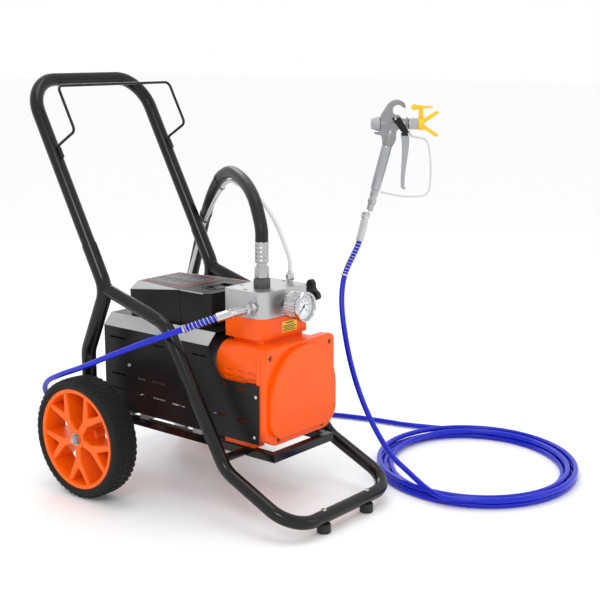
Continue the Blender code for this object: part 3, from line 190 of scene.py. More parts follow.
# ---- Building blocks -------------------------------------------------------------------------------

def lathe(profile, steps=48, ribs=0, rib_depth=0.0, rib_span=(0.0, 0.0)):
    """Solid of revolution about Z from (radius, height) points; from axis to axis, or a closed ring.
    ribs press that many flutes of rib_depth into the rings between the two heights of rib_span."""
    bm = bmesh.new()
    rings = []
    for radius, height in profile:
        if radius < 1e-6:
            rings.append([bm.verts.new((0, 0, height))])
            continue
        ring = []
        for k in range(steps):
            a = 2 * pi * k / steps
            r = radius
            if ribs and rib_span[0] - 1e-6 <= height <= rib_span[1] + 1e-6:
                r -= rib_depth * (0.5 - 0.5 * cos(a * ribs)) ** 2
            ring.append(bm.verts.new((r * cos(a), r * sin(a), height)))
        rings.append(ring)
    pairs = list(zip(rings, rings[1:]))
    if len(rings[0]) > 1:
        pairs.append((rings[-1], rings[0]))
    for low, high in pairs:
        for k in range(steps):
            n = (k + 1) % steps
            corners = [low[k % len(low)], low[n % len(low)], high[n % len(high)], high[k % len(high)]]
            bm.faces.new(list(dict.fromkeys(corners)))
    return bm


def rod(radius, length, steps=32, edge=0.0):
    if not edge:
        return lathe([(0, 0), (radius, 0), (radius, length), (0, length)], steps)
    return lathe([(0, 0), (radius - edge, 0), (radius, edge), (radius, length - edge), (radius - edge,
        length), (0, length)], steps)


def wall(bm, low, high):
    """The faces that join two rings with as many points each."""
    for k in range(len(low)):
        n = (k + 1) % len(low)
        bm.faces.new((low[k], low[n], high[n], high[k]))


def slab(face, back):
    """A closed solid between two faces given as points."""
    bm = bmesh.new()
    rings = [[bm.verts.new(p) for p in points] for points in (face, back)]
    for ring in rings:
        bm.faces.new(ring)
    wall(bm, *rings)
    return bm


def prism(outline, low, high):
    return slab([(x, y, low) for x, y in outline], [(x, y, high) for x, y in outline])


def block(low, high):
    (x0, y0, z0), (x1, y1, z1) = low, high
    return prism(((x0, y0), (x1, y0), (x1, y1), (x0, y1)), z0, z1)


def hexagon(across, low, high):
    """A hexagonal nut with chamfered corners, across its flats."""
    r = across / sqrt(3)
    edge = (high - low) * 0.12
    bm = bmesh.new()
    rows = []
    for radius, height in ((r * 0.9, low), (r, low + edge), (r, high - edge), (r * 0.9, high)):
        rows.append([bm.verts.new((radius * cos(pi / 3 * k), radius * sin(pi / 3 * k),
            height)) for k in range(6)])
    bm.faces.new(rows[0])
    bm.faces.new(rows[-1])
    for low_row, high_row in zip(rows, rows[1:]):
        wall(bm, low_row, high_row)
    return bm


def arc(centre, radius, start, end, steps):
    angles = [radians(start + (end - start) * k / steps) for k in range(steps + 1)]
    return [(centre[0] + radius * cos(a), centre[1] + radius * sin(a)) for a in angles]


def round_rectangle(low, high, radii, steps=10):
    (x0, y0), (x1, y1) = low, high
    a, b, c, d = radii
    return (arc((x0 + a, y0 + a), a, 180, 270, steps) + arc((x1 - b, y0 + b), b, 270, 360,
        steps) + arc((x1 - c, y1 - c), c, 0, 90, steps) + arc((x0 + d, y1 - d), d, 90, 180, steps))


def bent_path(corners, radii, steps=14):
    corners = [Vector(c) for c in corners]
    path = [corners[0]]
    for before, corner, after, radius in zip(corners, corners[1:], corners[2:], radii):
        back, ahead = (before - corner).normalized(), (after - corner).normalized()
        half = back.angle(ahead) / 2
        reach = radius / tan(half)
        centre = corner + (back + ahead).normalized() * (radius / sin(half))
        start = (corner + back * reach - centre).normalized()
        end = (corner + ahead * reach - centre).normalized()
        for k in range(steps + 1):
            path.append(centre + start.slerp(end, k / steps) * radius)
    path.append(corners[-1])
    return path


def curve_through(points, spacing):
    """Even steps along the smooth curve that passes through the points (a centripetal spline)."""
    points = [Vector(p) for p in points]
    padded = [2 * points[0] - points[1], *points, 2 * points[-1] - points[-2]]
    fine = []
    for p0, p1, p2, p3 in zip(padded, padded[1:], padded[2:], padded[3:]):
        t1 = (p1 - p0).length ** 0.5
        t2 = t1 + (p2 - p1).length ** 0.5
        t3 = t2 + (p3 - p2).length ** 0.5
        for k in range(24):
            t = t1 + (t2 - t1) * k / 24
            a1 = p0.lerp(p1, t / t1)
            a2 = p1.lerp(p2, (t - t1) / (t2 - t1))
            a3 = p2.lerp(p3, (t - t2) / (t3 - t2))
            fine.append(a1.lerp(a2, t / t2).lerp(a2.lerp(a3, (t - t1) / (t3 - t1)), (t - t1) / (t2 - t1)))
    fine.append(points[-1])
    return resample(fine, spacing)


def resample(path, spacing):
    lengths = [0.0]
    for before, after in zip(path, path[1:]):
        lengths.append(lengths[-1] + (after - before).length)
    count = max(2, round(lengths[-1] / spacing))
    steps, k = [], 0
    for step in range(count + 1):
        target = lengths[-1] * step / count
        while k < len(path) - 2 and lengths[k + 1] < target:
            k += 1
        steps.append(path[k].lerp(path[k + 1], (target - lengths[k]) / (lengths[k + 1] - lengths[k])))
    return steps


def length_of(path):
    return sum((b - a).length for a, b in zip(path, path[1:]))


def split_at(path, distance):
    travelled = 0.0
    for k, (before, after) in enumerate(zip(path, path[1:])):
        length = (after - before).length
        if travelled + length >= distance:
            cut = before.lerp(after, (distance - travelled) / length)
            return path[:k + 1] + [cut], [cut] + path[k + 1:]
        travelled += length
    return path, []


def frames_along(path):
    """Heading, side and other direction at each point of a path, without twist."""
    heading = (path[1] - path[0]).normalized()
    side = heading.orthogonal().normalized()
    found = []
    for k in range(len(path)):
        ahead = (path[min(k + 1, len(path) - 1)] - path[max(k - 1, 0)]).normalized()
        side = heading.rotation_difference(ahead) @ side
        heading = ahead
        found.append((heading, side, heading.cross(side)))
    return found


def sweep(path, radius, sides=28):
    """A round bar along a path."""
    path = [Vector(p) for p in path]
    spread = [(radius * cos(2 * pi * j / sides), radius * sin(2 * pi * j / sides)) for j in range(sides)]
    bm = bmesh.new()
    rows = []
    for point, (_, side, other) in zip(path, frames_along(path)):
        rows.append([bm.verts.new(point + side * a + other * b) for a, b in spread])
    for low, high in zip(rows, rows[1:]):
        wall(bm, low, high)
    for end in (0, -1):
        bm.faces.new(rows[end])
    return bm


def join(*parts):
    """Several closed meshes as one."""
    whole = bmesh.new()
    for part in parts:
        mesh = bpy.data.meshes.new("part")
        part.to_mesh(mesh)
        part.free()
        whole.from_mesh(mesh)
        bpy.data.meshes.remove(mesh)
    return whole


def moved(bm, location=(0, 0, 0), axis=None, turn=0.0, matrix=None):
    """Turns a mesh's own +Z to an axis and moves it."""
    if turn:
        bm.transform(Matrix.Rotation(turn, 4, "Z"))
    if axis is not None:
        bm.transform(Vector(axis).to_track_quat("Z", "Y").to_matrix().to_4x4())
    bm.transform(Matrix.Translation(location))
    if matrix is not None:
        bm.transform(matrix)
    return bm


def add(name, bm, finish, replaces=(), body="cart", bevel=0.0, segments=3, sharp=35, slot=None, matrix=None,
        cuts=()):
    """One piece of the visual model, riding on a CAD body. cuts are meshes taken out of it."""
    if matrix is not None:
        bm.transform(matrix)
    bm.transform(Matrix.Translation(ORIGIN))
    bmesh.ops.recalc_face_normals(bm, faces=bm.faces)
    mesh = bpy.data.meshes.new(name)
    bm.to_mesh(mesh)
    bm.free()
    obj = bpy.data.objects.new(name, mesh)
    bpy.context.scene.collection.objects.link(obj)
    mesh.materials.append(finish)
    if cuts:
        cut(obj, cuts, matrix)
    obj.data.shade_smooth()
    if bevel:
        rounding = obj.modifiers.new("rounding", "BEVEL")
        rounding.width, rounding.segments = bevel, segments
        rounding.limit_method, rounding.angle_limit = "ANGLE", radians(sharp)
        rounding.harden_normals = False
        normals = obj.modifiers.new("normals", "WEIGHTED_NORMAL")
        normals.keep_sharp = True
    else:
        obj.data.set_sharp_from_angle(angle=radians(sharp))
    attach(obj, body)
    if replaces:
        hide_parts(*([replaces] if isinstance(replaces, str) else replaces))
    return obj


def add_gun(*piece, **settings):
    """A piece given in the gun's own frame: X along the barrel, Z up."""
    return add(*piece, matrix=GUN_FRAME, **settings)


def cut(obj, cutters, matrix=None):
    whole = join(*cutters)
    if matrix is not None:
        whole.transform(matrix)
    whole.transform(Matrix.Translation(ORIGIN))
    bmesh.ops.recalc_face_normals(whole, faces=whole.faces)
    mesh = bpy.data.meshes.new("cutter")
    whole.to_mesh(mesh)
    whole.free()
    tool = bpy.data.objects.new("cutter", mesh)
    bpy.context.scene.collection.objects.link(tool)
    modifier = obj.modifiers.new("cut", "BOOLEAN")
    modifier.operation, modifier.solver, modifier.object = "DIFFERENCE", "EXACT", tool
    bpy.context.view_layer.update()
    evaluated = obj.evaluated_get(bpy.context.evaluated_depsgraph_get())
    result = bpy.data.meshes.new_from_object(evaluated)
    obj.modifiers.clear()
    obj.data = result
    bpy.data.objects.remove(tool, do_unlink=True)


def add_cord(name, path, radius, finish, replaces, resolution=5):
    """A hose as a bevelled curve along its own centreline."""
    curve = bpy.data.curves.new(name, "CURVE")
    curve.dimensions = "3D"
    curve.bevel_depth = radius
    curve.bevel_resolution = resolution
    curve.use_fill_caps = True
    spline = curve.splines.new("POLY")
    spline.points.add(len(path) - 1)
    for place, point in zip(spline.points, path):
        place.co = (*(point + ORIGIN), 1.0)
    curve.materials.append(finish)
    obj = bpy.data.objects.new(name, curve)
    bpy.context.scene.collection.objects.link(obj)
    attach(obj, "cart")
    if replaces:
        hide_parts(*replaces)
    return obj


def paint_node(node, finish):
    """Gives a CAD node that is shown as it is its finish."""
    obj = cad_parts[node]
    obj.data.materials.clear()
    obj.data.materials.append(finish)


def dome_screw(radius, height):
    """A low domed screw head."""
    return lathe([(0, 0), (radius, 0), (radius, height * 0.35), (radius * 0.85, height * 0.75),
        (radius * 0.45, height), (0, height)], 24)


# ---- Camera, stage and light -----------------------------------------------------------------------

def make_camera():
    data = bpy.data.cameras.new("camera")
    data.lens, data.sensor_width = CAMERA_LENS, 36.0
    camera = bpy.data.objects.new("camera", data)
    right = Vector((cos(CAMERA_HEADING), sin(CAMERA_HEADING), 0.0))
    level = Vector((right.y, -right.x, 0.0))
    back = (level * cos(CAMERA_PITCH) + Vector((0, 0, sin(CAMERA_PITCH)))).normalized()
    up = back.cross(right)
    turn = Matrix((right, up, back)).transposed()
    camera.matrix_world = Matrix.Translation(CAMERA_PLACE + ORIGIN) @ turn.to_4x4()
    data.clip_start, data.clip_end = 0.05, 60
    bpy.context.scene.collection.objects.link(camera)
    bpy.context.scene.camera = camera


def make_stage():
    bm = bmesh.new()
    bmesh.ops.create_grid(bm, x_segments=1, y_segments=1, size=30)
    mesh = bpy.data.meshes.new("floor")
    bm.to_mesh(mesh)
    bm.free()
    floor = bpy.data.objects.new("floor", mesh)
    floor.location = ORIGIN + Vector((0, 0, -0.0006))
    mesh.materials.append(material("floor_white", (0.97, 0.97, 0.97), 0.7, tone=0.003, tone_scale=1))
    bpy.context.scene.collection.objects.link(floor)
    make_world()
    bpy.context.scene.view_settings.view_transform = "Standard"
    for name, place, size, power, aim in (
            ("key", (-2.4, -1.6, 2.5), 0.9, 22, (0, 0, 0.35)),
            ("fill", (1.4, -2.8, 1.4), 1.2, 5, (0, 0, 0.35)),
            ("rim", (1.8, 2.2, 2.2), 1.0, 12, (0, 0, 0.4)),
            ("top", (0.0, 0.0, 3.2), 1.4, 14, (0, 0, 0.0))):
        light = bpy.data.lights.new(name, "AREA")
        light.shape, light.size, light.energy = "SQUARE", size, power
        lamp = bpy.data.objects.new(name, light)
        lamp.location = Vector(place) + ORIGIN
        lamp.rotation_euler = (lamp.location - (Vector(aim) + ORIGIN)).to_track_quat("Z", "Y").to_euler()
        bpy.context.scene.collection.objects.link(lamp)


def make_world():
    world = bpy.data.worlds.new("studio")
    world.use_nodes = True
    world.node_tree.nodes["Background"].inputs["Color"].default_value = (1.0, 1.0, 1.0, 1.0)
    world.node_tree.nodes["Background"].inputs["Strength"].default_value = 1.0
    bpy.context.scene.world = world


# ---- Cords -----------------------------------------------------------------------------------------

def coil_point(turn, offset, height):
    """A point of the coil: turn is the angle in the coil's own frame, offset from the band's middle."""
    local = Vector(((COIL_MID + offset) * cos(turn), (COIL_MID + offset) * COIL_STRETCH * sin(turn), height))
    return Matrix.Rotation(VIEW_TURN, 4, "Z") @ local + COIL_CENTRE


def ease(value):
    value = min(1.0, max(0.0, value))
    return value * value * (3 - 2 * value)


def coil_path():
    start, end = radians(98), radians(-143 - 4 * 360)
    count = 330
    points = []
    turns = (start - end) / (2 * pi)
    for k in range(count + 1):
        angle = start + (end - start) * k / count
        s = turns * k / count
        if s < 2.75:
            offset = 0.0225 - 0.0157 * s
        else:
            offset = -0.0207 + 0.02 * ease((s - 2.75) / 0.7) + 0.0165 * max(0.0, s - 3.2)
        height = 0.0078 + 0.0146 * ease((s - 2.7) / 0.35)
        offset += 0.0012 * sin(angle * 0.5 + 1.0) * (s > 2.75)
        points.append(coil_point(angle, offset, height))
    return points


def make_cords():
    coil = coil_path()
    nose = curve_through([HOSE_START, *ROUTES["run"]], 0.008)
    _, run_path = split_at(nose, 0.096)
    back = curve_through(ROUTES["riser"][::-1], 0.008)
    riser_path, _ = split_at(back, length_of(back) - 0.072)
    # Lead smoothly from the floor run onto the coil and from the coil up the riser.
    whole = run_path[::4] + coil[7:-4:3] + riser_path[3::4] + [riser_path[-1]]
    whole = curve_through(whole, 0.0145)
    hose = add_cord("paint_hose", whole, HOSE_R, HOSE_BLUE, ("hose_run", "hose_coil", "hose_riser"))
    out, gun_end = hose_end_pieces(nose, back)

    suction = curve_through(ROUTES["suction"], 0.012)
    hose = add_cord("suction_hose.look", suction, SUCTION_R, HOSE_BLACK, ("suction_hose",),
        8)
    strainer = make_strainer(suction[-1])

    tube = curve_through(ROUTES["return"], 0.008)
    pipe = add_cord("return_tube.look", tube, RETURN_R, CLEAR, ("return_tube",), 4)
    make_ties(suction)


def helix_along(path, radius, wire, pitch):
    """A wire wound round a path."""
    line = resample(path, pitch / 16)
    points = []
    for k, (point, (_, side, other)) in enumerate(zip(line, frames_along(line))):
        a = 2 * pi * k / 16
        points.append(point + (side * cos(a) + other * sin(a)) * radius)
    return sweep(points, wire, 8)


def collar(path, at, length, radius, sides=28):
    """A short sleeve round a path, from one distance along it."""
    _, rest = split_at(path, at)
    piece, _ = split_at(rest, length)
    piece = resample(piece, max(0.003, length / 6))
    return sweep(piece, radius, sides)


def hose_end_pieces(nose, back):
    """Ferrules and open-wound spring guards where the blue hose meets the pump and the gun."""
    rear = list(reversed(back))
    made = []
    for name, path, node, ferrule, total in (
            ("pump_hose_end", nose, "outlet_hose_end", PUMP_FERRULE, PUMP_GUARD_END),
            ("gun_hose_end.look", rear, "gun_hose_end", GUN_FERRULE, GUN_GUARD_END)):
        guard, _ = split_at(split_at(path, ferrule)[1], total - ferrule)
        parts = [helix_along(guard, 0.0083, 0.0011, 0.0088), collar(path, total - 0.005, 0.0048, 0.0094)]
        guard_piece = add(name, join(*parts), CHROME, node, sharp=60)
        made.append(guard_piece)
    metal = [moved(hexagon(0.02, 0.0004, 0.015), HOSE_START, (-1, 0, 0), 0.3), collar(nose, 0.015, 0.011,
        0.0085), collar(nose, 0.0255, 0.074, 0.0103), collar(nose, 0.0255, 0.003, 0.0109), collar(nose, 0.042,
        0.0025, 0.0109), collar(nose, 0.061, 0.0025, 0.0109), collar(nose, 0.095, 0.0045, 0.0109)]
    add("pump_ferrule", join(*metal), CHROME)
    down = (rear[1] - rear[0]).normalized()
    metal = [moved(hexagon(0.0205, 0.001, 0.018), rear[0], down, 0.2), collar(rear, 0.0175, 0.007, 0.0082),
        collar(rear, 0.024, 0.052, 0.0098), collar(rear, 0.024, 0.003, 0.0103), collar(rear, 0.072, 0.004,
        0.0103)]
    swivel_end = GUN_FRAME @ (GRIP_END + (GRIP_END - GRIP_TOP).normalized() * SWIVEL_LENGTH)
    gap = swivel_end - rear[0]
    metal.append(moved(rod(0.0075, gap.length - STEM_CLEAR, 32, 0.0003), rear[0], gap.normalized()))
    add("gun_ferrule", join(*metal), CHROME)
    return made


def make_strainer(top):
    profile = [(0, -0.13), (0.0182, -0.13), (0.0195, -0.1285), (0.02, -0.126), (0.02, -0.06), (0.0165,
        -0.054), (0.016, -0.05), (0.016, -0.022), (0.018, -0.02), (0.018, -0.001), (0.017, -0.0003), (0,
        -0.0003)]
    body = lathe(profile, 48)
    return add("strainer", moved(body, top), ZINC, "suction_strainer", bevel=0.0004)


def make_ties(suction):
    """Plastic ties that hold the clear tube against the suction hose."""
    total = length_of(suction)
    return_line = curve_through(ROUTES["return"], 0.004)
    for number, share in enumerate((0.385, 0.555, 0.745)):
        before, after = split_at(suction, total * share)
        centre = before[-1]
        heading = (after[1] - before[-2]).normalized()
        partner = min(return_line, key=lambda p: (p - centre).length)
        offset = partner - centre
        offset -= heading * offset.dot(heading)
        reach = offset.length
        away = offset.normalized()
        across = heading.cross(away)
        loop = []
        for angle in range(60, 301, 15):
            a = radians(angle)
            loop.append(centre + (away * cos(a) + across * sin(a)) * (SUCTION_R + 0.0011))
        for angle in range(-65, 66, 26):
            a = radians(angle)
            loop.append(centre + away * reach + (away * cos(a) + across * sin(a)) * (RETURN_R + 0.0011))
        loop.append(loop[0])
        section = [(-0.0006, -0.0022), (0.0006, -0.0022), (0.0006, 0.0022), (-0.0006, 0.0022)]
        bm = bmesh.new()
        rows = []
        for k, point in enumerate(loop[:-1]):
            tangent = (loop[k + 1] - loop[k - 1 if k else -2]).normalized()
            normal = heading.cross(tangent)
            rows.append([bm.verts.new(point + normal * a + heading * b) for a, b in section])
        for k in range(len(rows)):
            wall(bm, rows[k], rows[(k + 1) % len(rows)])
        head = moved(block((-0.003, -0.0025, -0.0028), (0.003, 0.0025, 0.0028)),
            centre - away * (SUCTION_R + 0.0022), heading)
        add(f"cable_tie_{number + 1}", join(bm, head), BLACK_PLASTIC)


# ---- Cart ------------------------------------------------------------------------------------------

def leg_path(x):
    elbow = SOCKET_TOP - HANDLE_DIR * 0.12
    return bent_path(((x, 0.313, 0.14), (x, 0.313, 0.345), (x, elbow.y, elbow.z), (x, SOCKET_TOP.y,
        SOCKET_TOP.z)), (0.06, 0.065))


def make_frame():
    for name, x in (("left", -RAIL_X), ("right", RAIL_X)):
        path = leg_path(x)
        add(f"rear_leg_{name}.look", sweep(path, LEG_R, 36), FRAME_PAINT, f"rear_leg_{name}", sharp=50)
        plug = moved(rod(0.0172, 0.004, 32, 0.001), (x, 0.313, 0.1385))
        add(f"leg_plug_{name}", plug, RUBBER)
    side = [(-RAIL_X, 0.246, 0.5113), (-RAIL_X, 0.034, 0.45), (-RAIL_X, -0.149, 0.132), (-RAIL_X, -0.353,
        0.038)]
    corners = side + [(-x, y, z) for x, y, z in reversed(side)]
    rail = sweep(bent_path(corners, (0.07, 0.08, 0.075, 0.075, 0.08, 0.07)), TUBE_R, 36)
    add("main_rail.look", rail, FRAME_PAINT, "main_rail", sharp=50)
    welds = []
    for x in (-RAIL_X, RAIL_X):
        beads = []
        centre, along = Vector((x, 0.2365, 0.5086)), Vector((0, 0.961, 0.277)).normalized()
        other = Vector((0, -along.z, along.y))
        for k in range(33):
            a = 2 * pi * k / 32
            out = Vector((1, 0, 0)) * cos(a) + other * sin(a)
            beads.append(centre + out * 0.0162 - along * (0.0085 * (1 - abs(cos(a))) - 0.001))
        welds.append(sweep(beads, 0.0014, 8))
    add("frame_welds", join(*welds), FRAME_PAINT, sharp=60)
    start = SOCKET_TOP - HANDLE_DIR * 0.004
    side = [(-RAIL_X, start.y, start.z), (-RAIL_X, HANDLE_TOP.y, HANDLE_TOP.z)]
    corners = side + [(-x, y, z) for x, y, z in reversed(side)]
    add("push_handle.look", sweep(bent_path(corners, (0.09, 0.09), 24), HANDLE_R, 36), FRAME_PAINT,
        "push_handle", sharp=50)
    for name, x in (("left", -RAIL_X), ("right", RAIL_X)):
        centre = SOCKET_TOP - HANDLE_DIR * 0.036 + Vector((x, 0, 0))
        button = lathe([(0, 0.006), (0.0042, 0.006), (0.0042, 0.0218), (0.0036, 0.0229), (0.002, 0.0234), (0,
            0.0235)], 28)
        add(f"snap_button_{name}.look", moved(button, centre, HANDLE_OUT), ZINC, f"snap_button_{name}",
            body=f"button_{name}")


def make_rack():
    x = RAIL_X - 0.001
    side = [(-x, 0.386, 0.824), (-x, 0.3995, 0.849), (-x, 0.3355, 0.888), (-x, 0.393, 0.9946)]
    corners = side + [(-px, y, z) for px, y, z in reversed(side)]
    wire = sweep(bent_path(corners, (0.008, 0.012, 0.014, 0.014, 0.012, 0.008), 8), WIRE_R, 16)
    tabs = [moved(block((-0.0042, -0.0037, -0.013), (0.0042, 0.0037, 0.013)), (s * x, 0.3908, 0.8317),
        HANDLE_DIR) for s in (-1, 1)]
    add("hose_rack.look", join(wire, *tabs), FRAME_PAINT, "hose_rack", bevel=0.0006, segments=2, sharp=50)


def make_feet():
    for name, x in (("left", -FOOT_X), ("right", FOOT_X)):
        profile = [(0, 0), (0.0145, 0), (0.0158, 0.001), (0.0165, 0.003), (0.016, 0.02), (0.015, 0.0217), (0,
            0.0217)]
        add(f"rubber_foot_{name}.look", moved(lathe(profile, 48), (x, FOOT_Y, 0)), RUBBER,
            f"rubber_foot_{name}")
        bolt = moved(dome_screw(0.0065, 0.0042), (x, FOOT_Y, 0.0535))
        add(f"foot_bolt_{name}", bolt, ZINC)


def make_cradle():
    half = 0.01
    bars = [block((-0.111, -0.23, 0.145), (0.111, -0.21, 0.165)), block((-0.1712, 0.303, 0.145), (0.1712,
        0.323, 0.165))]
    for s in (-1, 1):
        x = s * 0.101
        bars.append(block((x - half, -0.2102, 0.1451), (x + half, 0.3032, 0.1649)))
        bars.append(moved(rod(0.0098, 0.0727, 24), (x, -0.135, 0.155), (s, 0, 0)))
        plate = across_x(round_rectangle((0.226, 0.126), (0.319, 0.182), (0.012, 0.004, 0.004, 0.012), 6),
            s * 0.16 - 0.003, s * 0.16 + 0.003)
        bars.append(plate)
    add("cradle.look", join(*bars), FRAME_PAINT, "engine_cradle", bevel=0.0018)


# ---- Wheels ----------------------------------------------------------------------------------------

def tread_block(angle, x0, x1, slant, low, high, half):
    """One lug of the tread: a low block across the tyre, slanted along the circle."""
    bm = bmesh.new()
    rows = []
    for radius, inset in ((low, 0.0), (high, 0.0007)):
        row = []
        for x, shift in ((x0 + inset, -slant), (x1 - inset, slant)):
            for edge in (-half + inset, half - inset):
                a = angle + (shift + edge) / radius
                row.append(bm.verts.new((radius * cos(a), radius * sin(a), x)))
        rows.append(row)
    rings = [[row[k] for k in (0, 1, 3, 2)] for row in rows]
    for ring in rings:
        bm.faces.new(ring)
    wall(bm, *rings)
    return bm


def make_tyre(name, side):
    profile = [(RIM_R + 0.0003, TYRE_IN + 0.006), (0.1285, TYRE_IN + 0.003), (0.1345, TYRE_IN + 0.0002),
        (0.1385, TYRE_IN + 0.0008), (0.143, TYRE_IN + 0.004), (0.1462, TYRE_IN + 0.0095), (0.1482,
        TYRE_IN + 0.018), (0.1489, (TYRE_IN + TYRE_OUT) / 2), (0.1482, TYRE_OUT - 0.018), (0.1462,
        TYRE_OUT - 0.0095), (0.143, TYRE_OUT - 0.004), (0.1385, TYRE_OUT - 0.0008), (0.1345,
        TYRE_OUT - 0.0002), (0.129, TYRE_OUT - 0.003), (RIM_R + 0.0003, TYRE_OUT - 0.0042)]
    base = lathe(profile, 96)
    parts = [base]
    pitches = 54
    for k in range(pitches):
        a = 2 * pi * k / pitches
        step = 2 * pi / pitches
        for x0, x1, slant, phase, top in (
                (TYRE_IN + 0.006, TYRE_IN + 0.0165, 0.0022, 0.0, 0.1478),
                (TYRE_IN + 0.0175, TYRE_IN + 0.0265, -0.0024, 0.35, 0.1497),
                (TYRE_IN + 0.0275, TYRE_OUT - 0.0275, 0.002, 0.7, 0.15),
                (TYRE_OUT - 0.0265, TYRE_OUT - 0.0175, -0.0024, 0.2, 0.1497),
                (TYRE_OUT - 0.0165, TYRE_OUT - 0.006, 0.0022, 0.55, 0.1478)):
            parts.append(tread_block(a + phase * step, x0, x1, slant, top - 0.0034, top, 0.0055))
    add(f"tyre_{name}.look", moved(join(*parts), (0, AXLE_Y, AXLE_Z), (side, 0, 0)), TYRE, f"tyre_{name}",
        body=f"wheel_{name}")


def spoke_outline(turn, half_stem, half_arm):
    left, fork = Vector((0.1155, 0.037)), Vector((0.06, 0.0))
    arm = (left - fork).normalized()
    across = Vector((-arm.y, arm.x)) * half_arm
    crotch = fork.x + half_arm / sin(atan2(arm.y, arm.x))
    upper = [(0.018, half_stem), (fork.x - 0.008, half_stem), tuple(left + across), tuple(left - across)]
    web = arc((crotch + 0.008, 0), 0.004, 130, 230, 4)
    outline = upper + web + [(x, -y) for x, y in reversed(upper)]
    return [(x * cos(turn) - y * sin(turn), x * sin(turn) + y * cos(turn)) for x, y in outline]


def make_rim(name, side):
    rim_in, rim_out = TYRE_IN + 0.008, TYRE_OUT - 0.004
    barrel = [(RIM_R - 0.0002, rim_in), (RIM_R - 0.0002, rim_out - 0.0015), (RIM_R - 0.0012,
        rim_out - 0.0002), (0.1165, rim_out - 0.001), (0.1145, rim_out - 0.003), (0.1115, rim_out - 0.02),
        (0.1105, rim_in + 0.01), (0.1125, rim_in)]
    parts = [lathe(barrel, 96)]
    hub = [(0.0083, TYRE_IN + 0.001), (0.024, TYRE_IN + 0.001), (0.025, TYRE_IN + 0.002), (0.025,
        TYRE_IN + 0.066), (0.0235, TYRE_IN + 0.0688), (0.015, TYRE_IN + 0.069), (0.0083, TYRE_IN + 0.069)]
    flare = [(0.024, TYRE_IN + 0.0063), (0.0352, TYRE_IN + 0.0063), (0.036, TYRE_IN + 0.0075), (0.0352,
        TYRE_IN + 0.032), (0.031, TYRE_IN + 0.036), (0.024, TYRE_IN + 0.0366)]
    parts += [lathe(hub, 48), lathe(flare, 48)]
    spokes = []
    for k in range(5):
        turn = 2 * pi * k / 5 + radians(55)
        spokes.append(prism(spoke_outline(turn, 0.01, 0.0062), rim_in + 0.002, rim_out - 0.0055))
        spokes.append(prism(spoke_outline(turn, 0.008, 0.0046), rim_in + 0.012, rim_out - 0.0042))
    whole = moved(join(*parts, *spokes), (0, AXLE_Y, AXLE_Z), (side, 0, 0))
    add(f"wheel_rim_{name}.look", whole, RIM_ORANGE, f"wheel_rim_{name}", body=f"wheel_{name}", bevel=0.0011,
        segments=2)


def make_wheels():
    for name, side in SIDES:
        make_tyre(name, side)
        make_rim(name, side)
        facing = (side, 0, 0)
        axle = [(0, 0.15), (0.01, 0.15), (0.011, 0.1508), (0.011, 0.1557), (0.0102, 0.1565), (0.008, 0.1565),
            (0.008, 0.3035), (0.0062, 0.3068), (0.003, 0.3079), (0, 0.308)]
        add(f"axle_{name}.look", moved(lathe(axle, 40), (0, AXLE_Y, AXLE_Z), facing), ZINC, f"axle_{name}")
        washer = lathe([(0.0083, 0.2933), (0.0146, 0.2933), (0.015, 0.2937), (0.015, 0.2953), (0.0083,
            0.2953)], 40)
        nut = join(washer, hexagon(0.0215, 0.2953, 0.303))
        add(f"axle_nut_{name}.look", moved(nut, (0, AXLE_Y, AXLE_Z), facing), ZINC, f"axle_nut_{name}")


# ---- Motor cover and control box -------------------------------------------------------------------

COVER_SIDE = ((0.32, 0.187), (0.32, 0.399), (-0.041, 0.399), (-0.0424, 0.3983), (-0.0694, 0.3454), (-0.073,
    0.34), (-0.0785, 0.3335), (-0.088, 0.3295), (-0.1, 0.328), (-0.199, 0.328), (-0.199, 0.187))
COVER_SLOTS = ((0.245, 0.3, 0.372), (0.107, 0.144, 0.372), (-0.035, 0.011, 0.372), (0.243, 0.295, 0.278),
    (0.174, 0.216, 0.278), (0.104, 0.153, 0.278), (-0.101, -0.077, 0.316), (-0.168, -0.129, 0.313), (0.2445,
    0.297, 0.2395), (0.175, 0.22, 0.2375), (0.105, 0.149, 0.237), (0.037, 0.082, 0.2345), (-0.099, -0.054,
    0.239), (-0.1695, -0.133, 0.2375))


def across_x(outline, x0, x1):
    """Extrudes a (y, z) outline across X."""
    bm = prism(outline, x0, x1)
    bm.transform(Matrix(((0, 0, 1, 0), (1, 0, 0, 0), (0, 1, 0, 0), (0, 0, 0, 1))))
    return bm


def along_y(outline, y0, y1):
    """Extrudes an (x, z) outline along Y."""
    bm = prism(outline, y0, y1)
    bm.transform(Matrix(((1, 0, 0, 0), (0, 0, 1, 0), (0, 1, 0, 0), (0, 0, 0, 1))))
    return bm


def slot_cutter(side, y, z, length, height):
    outline = round_rectangle((y - length / 2, z - height / 2), (y + length / 2, z + height / 2),
        (height * 0.45,) * 4, 3)
    return across_x(outline, side * COVER_X - 0.006, side * COVER_X + 0.006)


